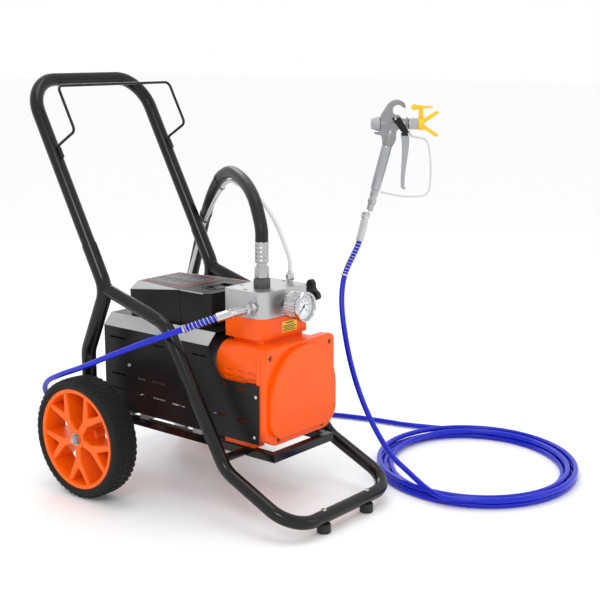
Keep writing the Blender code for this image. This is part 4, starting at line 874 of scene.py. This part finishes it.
def make_cover():
    for name, side in SIDES:
        x0, x1 = sorted((side * COVER_X, side * (COVER_X - SHEET)))
        cutters = []
        for y0, y1, z in COVER_SLOTS:
            cutters.append(slot_cutter(side, (y0 + y1) / 2, z, y1 - y0, 0.0042))
        add(f"cover_side_{name}", across_x(COVER_SIDE, x0, x1), COVER_PAINT,
            "motor_cover" if side < 0 else (), cuts=cutters, bevel=0.0004, segments=1)
        lower, upper = Vector((side * COVER_X, 0, 0.399)), Vector((side * 0.103, 0, 0.427))
        normal = Vector((side * 0.028, 0, 0.027)).normalized()
        ends = [(lower, -0.041), (upper, -0.041), (upper, 0.32), (lower, 0.32)]
        outer = [p + Vector((0, y, 0)) - normal * 0.0001 for p, y in ends]
        inner = [p + Vector((0, y, 0)) - normal * (0.0001 + SHEET) for p, y in ends]
        add(f"cover_stripe_{name}", slab(outer, inner), SILVER_PAINT_AND_HIGHLIGHT, slot="cover_paint", bevel=0.0005,
            segments=2)
    top = block((-0.103, -0.041, 0.427 - SHEET), (0.103, 0.32, 0.427))
    section = [(-0.13, 0.187), (0.13, 0.187), (0.13, 0.399), (0.103, 0.427), (-0.103, 0.427), (-0.13, 0.399)]
    hole = [moved(rod(0.06, 0.02, 64), (0, 0.31, MOTOR_Z), (0, 1, 0))]
    add("cover_top", top, COVER_PAINT, bevel=0.0005)
    add("cover_rear", along_y(section, 0.32 - SHEET, 0.32), COVER_PAINT, cuts=hole, bevel=0.0004)
    rings = []
    for radius in (0.0595, 0.0445, 0.0295, 0.0145):
        rings.append(lathe([(radius - 0.0022, -0.0008), (radius, -0.0008), (radius, 0.0008), (radius - 0.0022,
            0.0008)], 56))
    bars = [moved(block((-0.0011, -0.06, -0.0007), (0.0011, 0.06, 0.0007)),
        turn=pi / 4 * k) for k in range(4)]
    add("fan_grille", moved(join(*rings, *bars), (0, 0.3188, MOTOR_Z), (0, 1, 0)), COVER_PAINT)
    ledge = along_y([(-0.1282, 0.3262), (0.1282, 0.3262), (0.1282, 0.328), (-0.1282, 0.328)], -0.199, -0.155)
    add("cover_ledge", ledge, COVER_PAINT, bevel=0.0004)
    screws = []
    for side in (-1, 1):
        for y, z in ((0.2297, 0.307), (-0.1906, 0.301), (0.296, 0.203), (-0.185, 0.203)):
            screws.append(moved(dome_screw(0.0048, 0.0027), (side * 0.13, y, z), (side, 0, 0)))
    add("cover_screws", join(*screws), CHROME)


def make_control_box():
    low, high, front = 0.4273, 0.512, -0.008
    bm = bmesh.new()
    top = [(-0.078, front), (0.078, front), (0.093, front + 0.015), (0.093, 0.088), (0.07, 0.252), (-0.07,
        0.252), (-0.093, 0.088), (-0.093, front + 0.015)]
    eave = [(-0.078, front), (0.078, front), (0.093, front + 0.015), (0.093, 0.088), (0.1, 0.252), (-0.1,
        0.252), (-0.093, 0.088), (-0.093, front + 0.015)]
    drop = [0, 0, 0, 0.0003, 0.0175, 0.0175, 0.0003, 0]
    upper = [bm.verts.new((x, y, high)) for x, y in top]
    middle = [bm.verts.new((x, y, high - 0.0001 - d)) for (x, y), d in zip(eave, drop)]
    lower = [bm.verts.new((x * 0.975, y + (0.003 if y < 0.02 else 0.0), low)) for x, y in eave]
    bm.faces.new(upper)
    bm.faces.new(lower)
    wall(bm, upper, middle)
    wall(bm, middle, lower)
    recess = block((-0.036, 0.02, high - 0.013), (0.036, 0.058, high + 0.004))
    add("control_box.look", bm, BOX_PLASTIC, "control_box", cuts=[recess])
    for name, side in SIDES:
        points = [Vector((side * 0.0932, 0.087, high - 0.0002)), Vector((side * 0.0702, 0.2523,
            high + 0.0003)), Vector((side * 0.1002, 0.2523, high - 0.0177))]
        wedge = slab([p + Vector((side * 0.0005, 0, 0.0008)) for p in points], [p - Vector((side * 0.0008, 0,
            0.0012)) for p in points])
        add(f"box_stripe_{name}", wedge, SILVER_PAINT_AND_HIGHLIGHT, bevel=0.0003)
        # A thin silver strip along the top side edge of the box's front half: a painted highlight in place of
        # the light on that edge.
        edge = sweep([Vector((side * 0.0925, 0.0845, high - 0.0004)), Vector((side * 0.0925, 0.008,
            high - 0.0004))], 0.0013, 8)
        add(f"box_edge_painted_highlight_{name}", edge, SILVER_PAINT_AND_HIGHLIGHT)
    seam = [sweep([Vector((s * 0.0932, 0.0858, high - 0.001)), Vector((s * 0.0912, 0.0858, low + 0.002))],
        0.0006, 6) for s in (-1, 1)]
    seam.append(sweep([Vector((-0.0925, 0.0865, high - 0.0003)), Vector((0.0925, 0.0865, high - 0.0003))],
        0.0006, 6))
    add("box_seam", join(*seam), GAP_BLACK)
    make_panel(high)


def make_panel(high):
    """Generic control panel: a bordered label field, the switch frame and its rocker."""
    outer = [(-0.074, 0.103), (0.074, 0.103), (0.0685, 0.245), (-0.0685, 0.245)]
    inner = [(-0.07, 0.107), (0.07, 0.107), (0.065, 0.241), (-0.065, 0.241)]
    add("panel_border", prism(outer, high, high + 0.0005), PRINT_RED)
    add("panel_field", prism(inner, high + 0.0003, high + 0.0008), PRINT_BLACK, slot="manifold_metal")
    lines = []
    for row in range(11):
        y = 0.12 + row * 0.0105
        for column in range(2):
            x0 = -0.057 + column * 0.058
            span = 0.05 - 0.01 * ((row * 7 + column * 3) % 3)
            lines.append(block((x0, y, high + 0.0006), (x0 + span, y + 0.0052, high + 0.0011)))
    add("panel_print", join(*lines), PRINT_GREY)
    lip = prism(round_rectangle((-0.041, 0.015), (0.041, 0.063), (0.004,) * 4, 4), high - 0.001,
        high + 0.0016)
    hole = prism(round_rectangle((-0.0345, 0.0215), (0.0345, 0.0565), (0.002,) * 4, 3), high - 0.01,
        high + 0.01)
    add("switch_frame", lip, BLACK_PLASTIC, cuts=[hole], bevel=0.0006)
    tray = prism(round_rectangle((-0.0175, 0.0224), (0.0175, 0.0556), (0.002,) * 4, 3), high - 0.0128,
        high - 0.001)
    slot_hole = prism(round_rectangle((-0.0155, 0.0246), (0.0155, 0.0534), (0.001,) * 4, 3), high - 0.02,
        high + 0.01)
    add("switch_tray", tray, BLACK_PLASTIC, cuts=[slot_hole], bevel=0.0004)
    rocker = across_x([(1.9 * y, z) for y, z in ((-0.0065, -0.007), (0.0065, -0.007), (0.0065, 0.0042),
        (0.003, 0.0012), (0.0, 0.0003), (-0.003, 0.0006), (-0.0065, 0.002))], -0.0148, 0.0148)
    add("rocker.look", moved(rocker, (0, 0.039, high - 0.0022)), BLACK_PLASTIC, "rocker_switch",
        body="switch", bevel=0.0006)
    stripe = block((0.0785, 0.01, high - 0.0002), (0.0802, 0.083, high + 0.0005))
    add("panel_stripe", stripe, PRINT_RED)


# ---- Pump ------------------------------------------------------------------------------------------

def make_crankcase():
    body = round_rectangle((-0.1155, 0.184), (0.1155, 0.4095), (0.034, 0.034, 0.045, 0.045), 14)
    vents = []
    for z in (0.348, 0.3325):
        for y0, y1 in ((-0.1064, -0.0824), (-0.1414, -0.1177), (-0.1786, -0.1532)):
            for s in (-1, 1):
                outline = round_rectangle((y0, z - 0.0027), (y1, z + 0.0027), (0.0024,) * 4, 4)
                vents.append(across_x(outline, *sorted((s * 0.112, s * 0.119))))
    add("crankcase.look", along_y(body, CASE_FRONT + 0.002, CASE_REAR), ORANGE, "crankcase", bevel=0.003,
        segments=3, cuts=vents)
    flange = round_rectangle((-0.126, 0.1835), (0.126, 0.4115), (0.034, 0.034, 0.016, 0.016), 12)
    add("crankcase_flange", along_y(flange, CASE_FRONT, CASE_FRONT + 0.015), ORANGE, bevel=0.003)
    add("crankcase_neck", prism(block_outline(), NECK_LOW, NECK_TOP), ORANGE, bevel=0.002)
    throat = block((-0.072, -0.164, 0.4), (0.072, -0.072, NECK_LOW + 0.004))
    add("crankcase_throat", throat, ORANGE, bevel=0.0015)
    feet = [block((s * 0.088 - 0.018, -0.165, 0.1653), (s * 0.088 + 0.018, -0.07, 0.235)) for s in (-1, 1)]
    add("crankcase_feet", join(*feet), ORANGE, bevel=0.002)


def block_outline():
    """Plan of the neck and the manifold: one large round on the corner beside the hose outlet."""
    return round_rectangle((-BLOCK_X, PUMP_Y - BLOCK_Y), (BLOCK_X, PUMP_Y + BLOCK_Y), (0.03, 0.008, 0.004,
        0.004), 14)


def dome(half, low, centre, corner, steps=48):
    return (arc((0, centre), half, 0, 180, steps) + arc((-half + corner, low + corner), corner, 180, 270,
        12) + arc((half - corner, low + corner), corner, 270, 360, 12))


def make_front_cover():
    back, face, proud = CASE_FRONT - 0.0003, -0.2185, -0.2335
    plate = round_rectangle((-0.128, 0.18), (0.128, 0.413), (0.044, 0.044, 0.018, 0.018), 16)
    places = ((-0.109, 0.392), (0.109, 0.392), (-0.081, 0.1925), (0.081, 0.1925))
    holes = [moved(rod(0.0058, 0.01, 28), (x, face + 0.0065, z), (0, -1, 0)) for x, z in places]
    add("front_cover.look", along_y(plate, face, back), ORANGE, "pump_front_cover", bevel=0.0038, segments=4,
        cuts=holes)
    add("front_cover_dome", along_y(dome(0.118, 0.198, 0.288, 0.04), proud, face + 0.004), ORANGE,
        bevel=0.0045, segments=5)
    screws = []
    for x, z in places:
        screws.append(moved(lathe([(0, 0), (0.0046, 0), (0.0046, 0.0028), (0.0042, 0.0034), (0.0026, 0.0034),
            (0.0026, 0.0016), (0, 0.0016)], 24), (x, face + 0.0064, z), (0, -1, 0)))
    add("front_cover_screws", join(*screws), DARK_STEEL)


def make_neck_label():
    """A plain yellow notice with a few black bars in place of words."""
    y = PUMP_Y - BLOCK_Y
    plate = block((-0.013, y - 0.0006, 0.429), (0.0405, y, 0.4545))
    add("neck_label", plate, LABEL_YELLOW)
    bars = [block((-0.0015, y - 0.0009, 0.4492), (0.029, y - 0.0005, 0.4518))]
    for row in range(4):
        z = 0.4315 + row * 0.004
        bars.append(block((-0.01, y - 0.0009, z), (0.037 - 0.006 * (row % 2), y - 0.0005, z + 0.0018)))
    add("neck_label_bars", join(*bars), PRINT_BLACK)


def make_manifold():
    places = ((-0.0335, -0.064), (-0.0683, -0.106), (-0.0377, -0.16), (0.036, -0.16), (0.07, -0.108), (0.062,
        -0.064))
    holes = [moved(rod(0.0053, 0.016, 28), (x, y, MANIFOLD_TOP - 0.01)) for x, y in places]
    holes.append(moved(rod(0.019, 0.004, 48), OUTLET + Vector((0.002, 0, 0)), (-1, 0, 0)))
    holes.append(moved(rod(0.0205, 0.006, 40), GAUGE + Vector((0, 0.003, 0)), (0, -1, 0)))
    add("manifold.look", prism(block_outline(), NECK_TOP + 0.0003, MANIFOLD_TOP), ALLOY, "paint_manifold",
        bevel=0.0022, segments=3, cuts=holes)
    screws = []
    for x, y in places:
        screws.append(moved(lathe([(0, 0), (0.0044, 0), (0.0044, 0.0036), (0.004, 0.004), (0.0025, 0.004),
            (0.0025, 0.0016), (0, 0.0016)], 24), (x, y, MANIFOLD_TOP - 0.0099)))
    add("manifold_screws", join(*screws), DARK_STEEL)


# ---- Fittings, gauge and valve ---------------------------------------------------------------------

def make_fittings():
    notched = lathe([(0, 0.0004), (0.0193, 0.0004), (0.0199, 0.0012), (0.0199, 0.01), (0.0199, 0.0205),
        (0.019, 0.0222), (0, 0.0222)], 144, 12, 0.0024, (0.01, 0.0223))
    add("inlet_base", moved(notched, INLET, turn=0.25), DARK_STEEL, "inlet_fitting", sharp=50)
    nut = join(hexagon(0.0312, 0.0226, 0.0505), lathe([(0, 0.05), (0.013, 0.05), (0.013, 0.054), (0, 0.054)],
        40))
    add("inlet_nut", moved(nut, INLET, turn=0.42), ZINC, bevel=0.0006, segments=2)
    ferrule = [(0, 0.0535), (0.0125, 0.0535), (0.0125, 0.06), (0.015, 0.0602), (0.0165, 0.0617)]
    for k in range(4):
        z = 0.0665 + 0.01 * k
        ferrule += [(0.0165, z), (0.0157, z + 0.0008), (0.0157, z + 0.0042), (0.0165, z + 0.005)]
    ferrule += [(0.0165, 0.107), (0.0158, 0.1088), (0, 0.109)]
    add("suction_ferrule.look", moved(lathe(ferrule, 56), INLET), ZINC, "suction_ferrule", sharp=60)
    small = join(hexagon(0.0172, 0.0065, 0.021), lathe([(0, 0.0003), (0.0075, 0.0003), (0.0075, 0.0066), (0,
        0.0066)], 32), lathe([(0, 0.0205), (0.0068, 0.0205), (0.0074, 0.0225), (0.0062, 0.0265), (0, 0.027)],
        32))
    add("return_fitting.look", moved(small, RETURN, turn=0.2), CHROME, "return_fitting", bevel=0.0004,
        segments=2)
    outlet = join(hexagon(0.0232, 0.0004, 0.0105), lathe([(0, 0.01), (0.0105, 0.01), (0.0092, 0.012), (0.0092,
        0.017), (0, 0.017)], 32))
    add("outlet_fitting.look", moved(outlet, OUTLET, (-1, 0, 0), 0.1), ZINC, "outlet_fitting", bevel=0.0004,
        segments=2)


def make_gauge():
    facing = (0, -1, 0)
    neck = lathe([(0, 0.0003), (0.009, 0.0003), (0.009, 0.0165), (0, 0.0165)], 32)
    barrel = lathe([(0, 0.016), (0.02, 0.0162), (0.0305, 0.0172), (0.0325, 0.02), (0.033, 0.024), (0.033,
        0.05), (0.0322, 0.053), (0, 0.053)], 240, 30, 0.002, (0.023, 0.05))
    bezel = lathe([(0.0298, 0.0525), (0.0332, 0.0525), (0.035, 0.0545), (0.0355, 0.058), (0.0355, 0.0628),
        (0.0346, 0.065), (0.0328, 0.0655), (0.0308, 0.0645), (0.0298, 0.0625)], 96)
    add("gauge_body.look", moved(join(neck, barrel, bezel), GAUGE, facing), CHROME, "gauge_body", sharp=50)
    add("gauge_dial", moved(lathe([(0, 0.0532), (0.0299, 0.0532), (0.0299, 0.054), (0, 0.054)], 64), GAUGE,
        facing), DIAL)
    ticks = []
    for k in range(51):
        angle = radians(225 - 270 * k / 50)
        long = k % 5 == 0
        tick = block((0.0195 if long else 0.0218, -0.0003, 0.0539), (0.0245, 0.0003, 0.0543))
        tick.transform(Matrix.Rotation(angle, 4, "Z"))
        ticks.append(tick)
    inner = []
    for k in range(41):
        angle = radians(225 - 270 * k / 40)
        inner.append(Vector((0.0178 * cos(angle), 0.0178 * sin(angle), 0.0541)))
    ticks.append(sweep(inner, 0.00025, 6))
    face = gauge_face()
    add("gauge_scale", join(*ticks), PRINT_BLACK, matrix=face)
    limit = moved(block((0.0252, -0.00045, 0.0539), (0.0275, 0.00045, 0.0543)), turn=radians(-30))
    add("gauge_limit", limit, PRINT_RED, slot="rim_plastic", matrix=face)
    numbers = []
    for k in range(6):
        angle = radians(225 - 270 * k / 5)
        numbers.append(dial_number(str(k * 10), 0.0132 * cos(angle), 0.0132 * sin(angle)))
    add("gauge_numbers", join(*numbers), PRINT_BLACK, matrix=face)
    pointer = join(prism([(-0.0008, -0.008), (0.0008, -0.008), (0.0011, 0.0), (0.0003, 0.0225), (-0.0003,
        0.0225), (-0.0011, 0.0)], 0.0549, 0.0555), rod(0.003, 0.0002, 24))
    hub = moved(rod(0.003, 0.0018, 28, 0.0003), (0, 0, 0.0545))
    pointer = join(pointer, hub)
    pointer.transform(Matrix.Rotation(radians(135), 4, "Z"))
    add("gauge_needle.look", pointer, PRINT_BLACK, "gauge_needle", body="needle", matrix=face)
    lens = lathe([(0, 0.0605), (0.0298, 0.0605), (0.0298, 0.0613), (0, 0.0615)], 64)
    add("gauge_lens", moved(lens, GAUGE, facing), GLASS)


def gauge_face():
    """Frame of the dial: X to the viewer's right, Y up, Z out of the face."""
    turn = Matrix(((1, 0, 0, 0), (0, 0, -1, 0), (0, 1, 0, 0), (0, 0, 0, 1)))
    return Matrix.Translation(GAUGE) @ turn


def dial_number(text, x, y):
    curve = bpy.data.curves.new("number", "FONT")
    curve.body, curve.size, curve.extrude = text, 0.0058, 0.0002
    curve.align_x, curve.align_y = "CENTER", "CENTER"
    obj = bpy.data.objects.new("number", curve)
    bpy.context.scene.collection.objects.link(obj)
    bpy.context.view_layer.update()
    mesh = bpy.data.meshes.new_from_object(obj.evaluated_get(bpy.context.evaluated_depsgraph_get()))
    bm = bmesh.new()
    bm.from_mesh(mesh)
    bm.transform(Matrix.Translation((x, y, 0.0541)))
    bpy.data.objects.remove(obj, do_unlink=True)
    return bm


def make_relief():
    out = (1, 0, 0)
    body = [(0, 0.0003), (0.013, 0.0003), (0.013, 0.0115), (0.0122, 0.013), (0.011, 0.0138), (0.011, 0.026),
        (0, 0.026)]
    add("relief_valve.look", moved(lathe(body, 48), RELIEF, out), BLACK_PLASTIC, "relief_valve")
    outline = []
    for k in range(72):
        a = 2 * pi * k / 72
        reach = 0.0215 + 0.0083 * cos(3 * (a - pi / 2))
        outline.append((reach * cos(a), reach * sin(a)))
    knob = prism(outline, 0.03, 0.044)
    hub = lathe([(0, 0.0265), (0.012, 0.0265), (0.014, 0.029), (0.014, 0.0445), (0.012, 0.046), (0, 0.0462)],
        40)
    add("relief_knob.look", moved(knob, RELIEF, out), BLACK_PLASTIC, "relief_knob", body="valve_knob",
        bevel=0.002, segments=3)
    add("relief_knob_hub", moved(hub, RELIEF, out), BLACK_PLASTIC, body="valve_knob")


# ---- Spray gun -------------------------------------------------------------------------------------

def flat(outline, half):
    bm = prism(outline, -half, half)
    bm.transform(Matrix.Rotation(radians(90), 4, "X"))
    return bm


def make_gun():
    forward = (1, 0, 0)
    down = (GRIP_END - GRIP_TOP).normalized()
    hook = [(-0.0355, -0.008), (-0.0358, -0.02), (-0.05, -0.0204), (-0.0508, -0.0228), (-0.0474, -0.0258),
        (-0.033, -0.0285), (-0.0301, -0.0388), (-0.0296, -0.0469), (-0.0039, -0.055), (0.0042, -0.039),
        (0.0052, -0.018), (0.012, -0.0125), (0.0296, -0.0125), (0.0296, -0.0185), (0.0338, -0.0185), (0.0338,
        0.0163), (0.0296, 0.0163), (0.029, 0.012), (0.018, 0.014), (0.0125, 0.0205), (0.0099, 0.0228), (0.006,
        0.0215)]
    hook += arc((0.0083, 0.034), 0.0131, 240, 42, 24)
    hook += [(0.0225, 0.04), (0.0262, 0.0392), (0.0277, 0.0412), (0.0274, 0.044)]
    hook += arc((0.0045, 0.033), 0.0267, 42, 142, 24)
    hook += [(-0.0335, 0.0225), (-0.0355, 0.012)]
    add_gun("gun_body.look", flat(hook, 0.01), GUN_ALLOY, "gun_body", bevel=0.0022, segments=3)
    barrel = lathe([(0, -0.036), (0.0112, -0.036), (0.0125, -0.0345), (0.0125, -0.012), (0.0118, -0.01),
        (0.0112, 0.008), (0.0125, 0.018), (0.0125, 0.0285), (0.0112, 0.03), (0.0082, 0.03), (0.0082, 0.058),
        (0, 0.058)], 48)
    add_gun("gun_barrel", moved(barrel, axis=forward), GUN_ALLOY)
    top = GRIP_TOP - down * 0.04
    collar_shape = lathe([(0, 0), (0.012, 0.001), (0.0138, 0.008), (0.0142, 0.018), (0.0142, 0.033), (0.0138,
        0.039), (0.013, 0.04), (0, 0.04)], 48)
    add_gun("gun_collar", moved(collar_shape, top, down), GUN_ALLOY)
    pin = moved(rod(0.0029, 0.0326, 24, 0.0004), PIVOT + Vector((0, 0.0163, 0)), (0, -1, 0))
    add_gun("trigger_pin", pin, CHROME)

    length = (GRIP_END - GRIP_TOP).length
    grip = lathe([(0, 0.0003), (0.0124, 0.0003), (0.0128, 0.0012), (0.013, 0.008), (0.0128, 0.04), (0.0126,
        0.09), (0.0118, length - 0.004), (0.0108, length - 0.0004), (0, length - 0.0002)], 56)
    add_gun("gun_grip.look", moved(grip, GRIP_TOP, down), GRIP_ALLOY, "gun_grip")
    swivel = join(lathe([(0, 0.0003), (0.01, 0.0003), (0.0095, 0.018), (0.0085, 0.02), (0.0085, 0.0545), (0,
        0.0545)], 40), hexagon(0.0198, 0.0016, 0.014), hexagon(0.0212, 0.022, 0.036))
    add_gun("gun_swivel.look", moved(swivel, GRIP_END, down), ZINC, "gun_swivel", body="hose_swivel",
        bevel=0.0004, segments=2)
    cap = lathe([(0, 0.0364), (0.0168, 0.0364), (0.0184, 0.0378), (0.018, 0.04), (0.0134, 0.056), (0.0118,
        0.0583), (0, 0.0585)], 240, 20, 0.0016, (0.039, 0.057))
    add_gun("needle_cap.look", moved(cap, axis=(-1, 0, 0), turn=0.3), CAST_GREY, "needle_cap", sharp=60)
    make_tip(forward)
    make_trigger()


def make_tip(forward):
    nut = lathe([(0.0086, 0.0347), (0.0124, 0.0347), (0.0139, 0.0362), (0.014, 0.0375), (0.014, 0.0575),
        (0.0134, 0.0585), (0.0086, 0.0585)], 192, 24, 0.0009, (0.0374, 0.0576))
    add_gun("guard_nut.look", moved(nut, axis=forward), ZINC, "guard_nut", body="tip_holder", sharp=60)
    body = lathe([(0.0052, 0.0591), (0.015, 0.0591), (0.0159, 0.0602), (0.0159, 0.0722), (0.0146, 0.0739),
        (0.0052, 0.0739)], 48)
    add_gun("tip_guard_ring", moved(body, axis=forward), YELLOW, "tip_guard", body="tip_holder")
    for name, sign in (("upper", 1), ("lower", -1)):
        wing = [(0.064, 0.007), (0.0665, 0.013), (0.074, 0.0135), (0.101, 0.0305), (0.106, 0.0323), (0.1095,
            0.03), (0.1095, 0.0262), (0.1065, 0.0235), (0.079, 0.005), (0.0735, 0.002)]
        add_gun(f"tip_guard_wing_{name}", flat([(x, sign * z) for x, z in wing], 0.0075), YELLOW,
            body="tip_holder", bevel=0.0018)
    stem = lathe([(0, -0.012), (0.0051, -0.012), (0.0055, -0.011), (0.0055, 0.018), (0.007, 0.0185), (0.007,
        0.0205), (0.0055, 0.021), (0.0055, 0.037), (0, 0.037)], 40)
    add_gun("tip_key_stem", moved(stem, (0.0665, 0, 0)), YELLOW, "tip_key", body="reversible_tip")
    arrow = (arc((0.0489, 0.041), 0.0076, 295, 65, 14) + [(0.058, 0.0462), (0.064, 0.0465), (0.07, 0.0446),
        (0.081, 0.0442), (0.087, 0.0455), (0.0977, 0.0414), (0.087, 0.0372), (0.081, 0.0384), (0.07, 0.0375),
        (0.064, 0.0345), (0.058, 0.035)])
    eye = flat([(0.0835, 0.0414), (0.0865, 0.0431), (0.0915, 0.0414), (0.0865, 0.0397)], 0.006)
    add_gun("tip_key_arrow", flat(arrow, 0.0031), YELLOW, body="reversible_tip", bevel=0.001, cuts=[eye])


def make_trigger():
    blade = [(0.0165, -0.026), (0.023, -0.0248), (0.03, -0.025), (0.0375, -0.03), (0.0376, -0.042), (0.0372,
        -0.0573), (0.035, -0.076), (0.0325, -0.095), (0.0296, -0.118), (0.0277, -0.1363), (0.0275, -0.152),
        (0.0288, -0.159), (0.031, -0.1635), (0.029, -0.164), (0.0245, -0.1638), (0.0205, -0.1615), (0.019,
        -0.157), (0.0184, -0.1363), (0.0192, -0.115), (0.02, -0.095), (0.0205, -0.0573), (0.0195, -0.042)]
    add_gun("gun_trigger.look", flat(blade, 0.0088), GRIP_ALLOY, "gun_trigger", body="trigger",
        slot="bright_steel", bevel=0.0022, segments=3)
    cheek = [(-0.0064, 0.013), (0.016, -0.017), (0.024, -0.0268), (0.0345, -0.0215), (0.035, -0.019), (0.021,
        0.005), (0.0135, 0.0162), (-0.0055, 0.0155)]
    parts = []
    for side in (-1, 1):
        plate = flat(cheek, 0.0011)
        plate.transform(Matrix.Translation((0, side * 0.0142, 0)))
        parts.append(plate)
        parts.append(block((0.0175, min(side * 0.0075, side * 0.015), -0.029), (0.0345, max(side * 0.0075,
            side * 0.015), -0.024)))
    add_gun("trigger_cheeks", join(*parts), BLACK_PLASTIC, body="trigger", bevel=0.0006)
    lock = [(-0.001, 0.006), (0.009, 0.006), (0.01, 0.016), (0.02, 0.006), (0.03, -0.012), (0.022, -0.016),
        (0.01, -0.002)]
    piece = flat(lock, 0.0014)
    piece.transform(Matrix.Translation((0, -0.0182, 0)))
    add_gun("trigger_lock.look", piece, BLACK_PLASTIC, "trigger_lock", body="lock", bevel=0.0005)
    guard = ((-0.0325, -0.1712), (-0.0137, -0.1752), (0.0168, -0.1808), (0.0472, -0.1825), (0.0706, -0.1813),
        (0.0834, -0.1761), (0.0902, -0.1667), (0.0931, -0.1363), (0.0935, -0.106), (0.0906, -0.0758), (0.0853,
        -0.0481), (0.077, -0.0388), (0.063, -0.0347), (0.0514, -0.0331), (0.045, -0.0305), (0.04, -0.0258),
        (0.0376, -0.0205), (0.0371, -0.0165))
    path = curve_through([(x, 0.0, z) for x, z in guard], 0.0028)
    add_gun("trigger_guard.look", sweep(path, 0.0024, 20), STRAP, "trigger_guard", sharp=60)


def paint_inner_nodes():
    for node, finish in (("motor_housing", CAST_GREY), ("motor_rotor", DARK_STEEL),
                         ("cooling_fan", BLACK_PLASTIC), ("motor_bearing_front", ZINC),
                         ("motor_bearing_rear", ZINC), ("eccentric_gear", ZINC), ("pump_piston", CHROME),
                         ("piston_spring", ZINC), ("pump_diaphragm", DIAPHRAGM), ("circuit_board", BOARD)):
        paint_node(node, finish)


make_camera()
make_stage()
make_cords()
make_frame()
make_rack()
make_feet()
make_cradle()
make_wheels()
make_cover()
make_control_box()
make_crankcase()
make_front_cover()
make_neck_label()
make_manifold()
make_fittings()
make_gauge()
make_relief()
make_gun()
paint_inner_nodes()
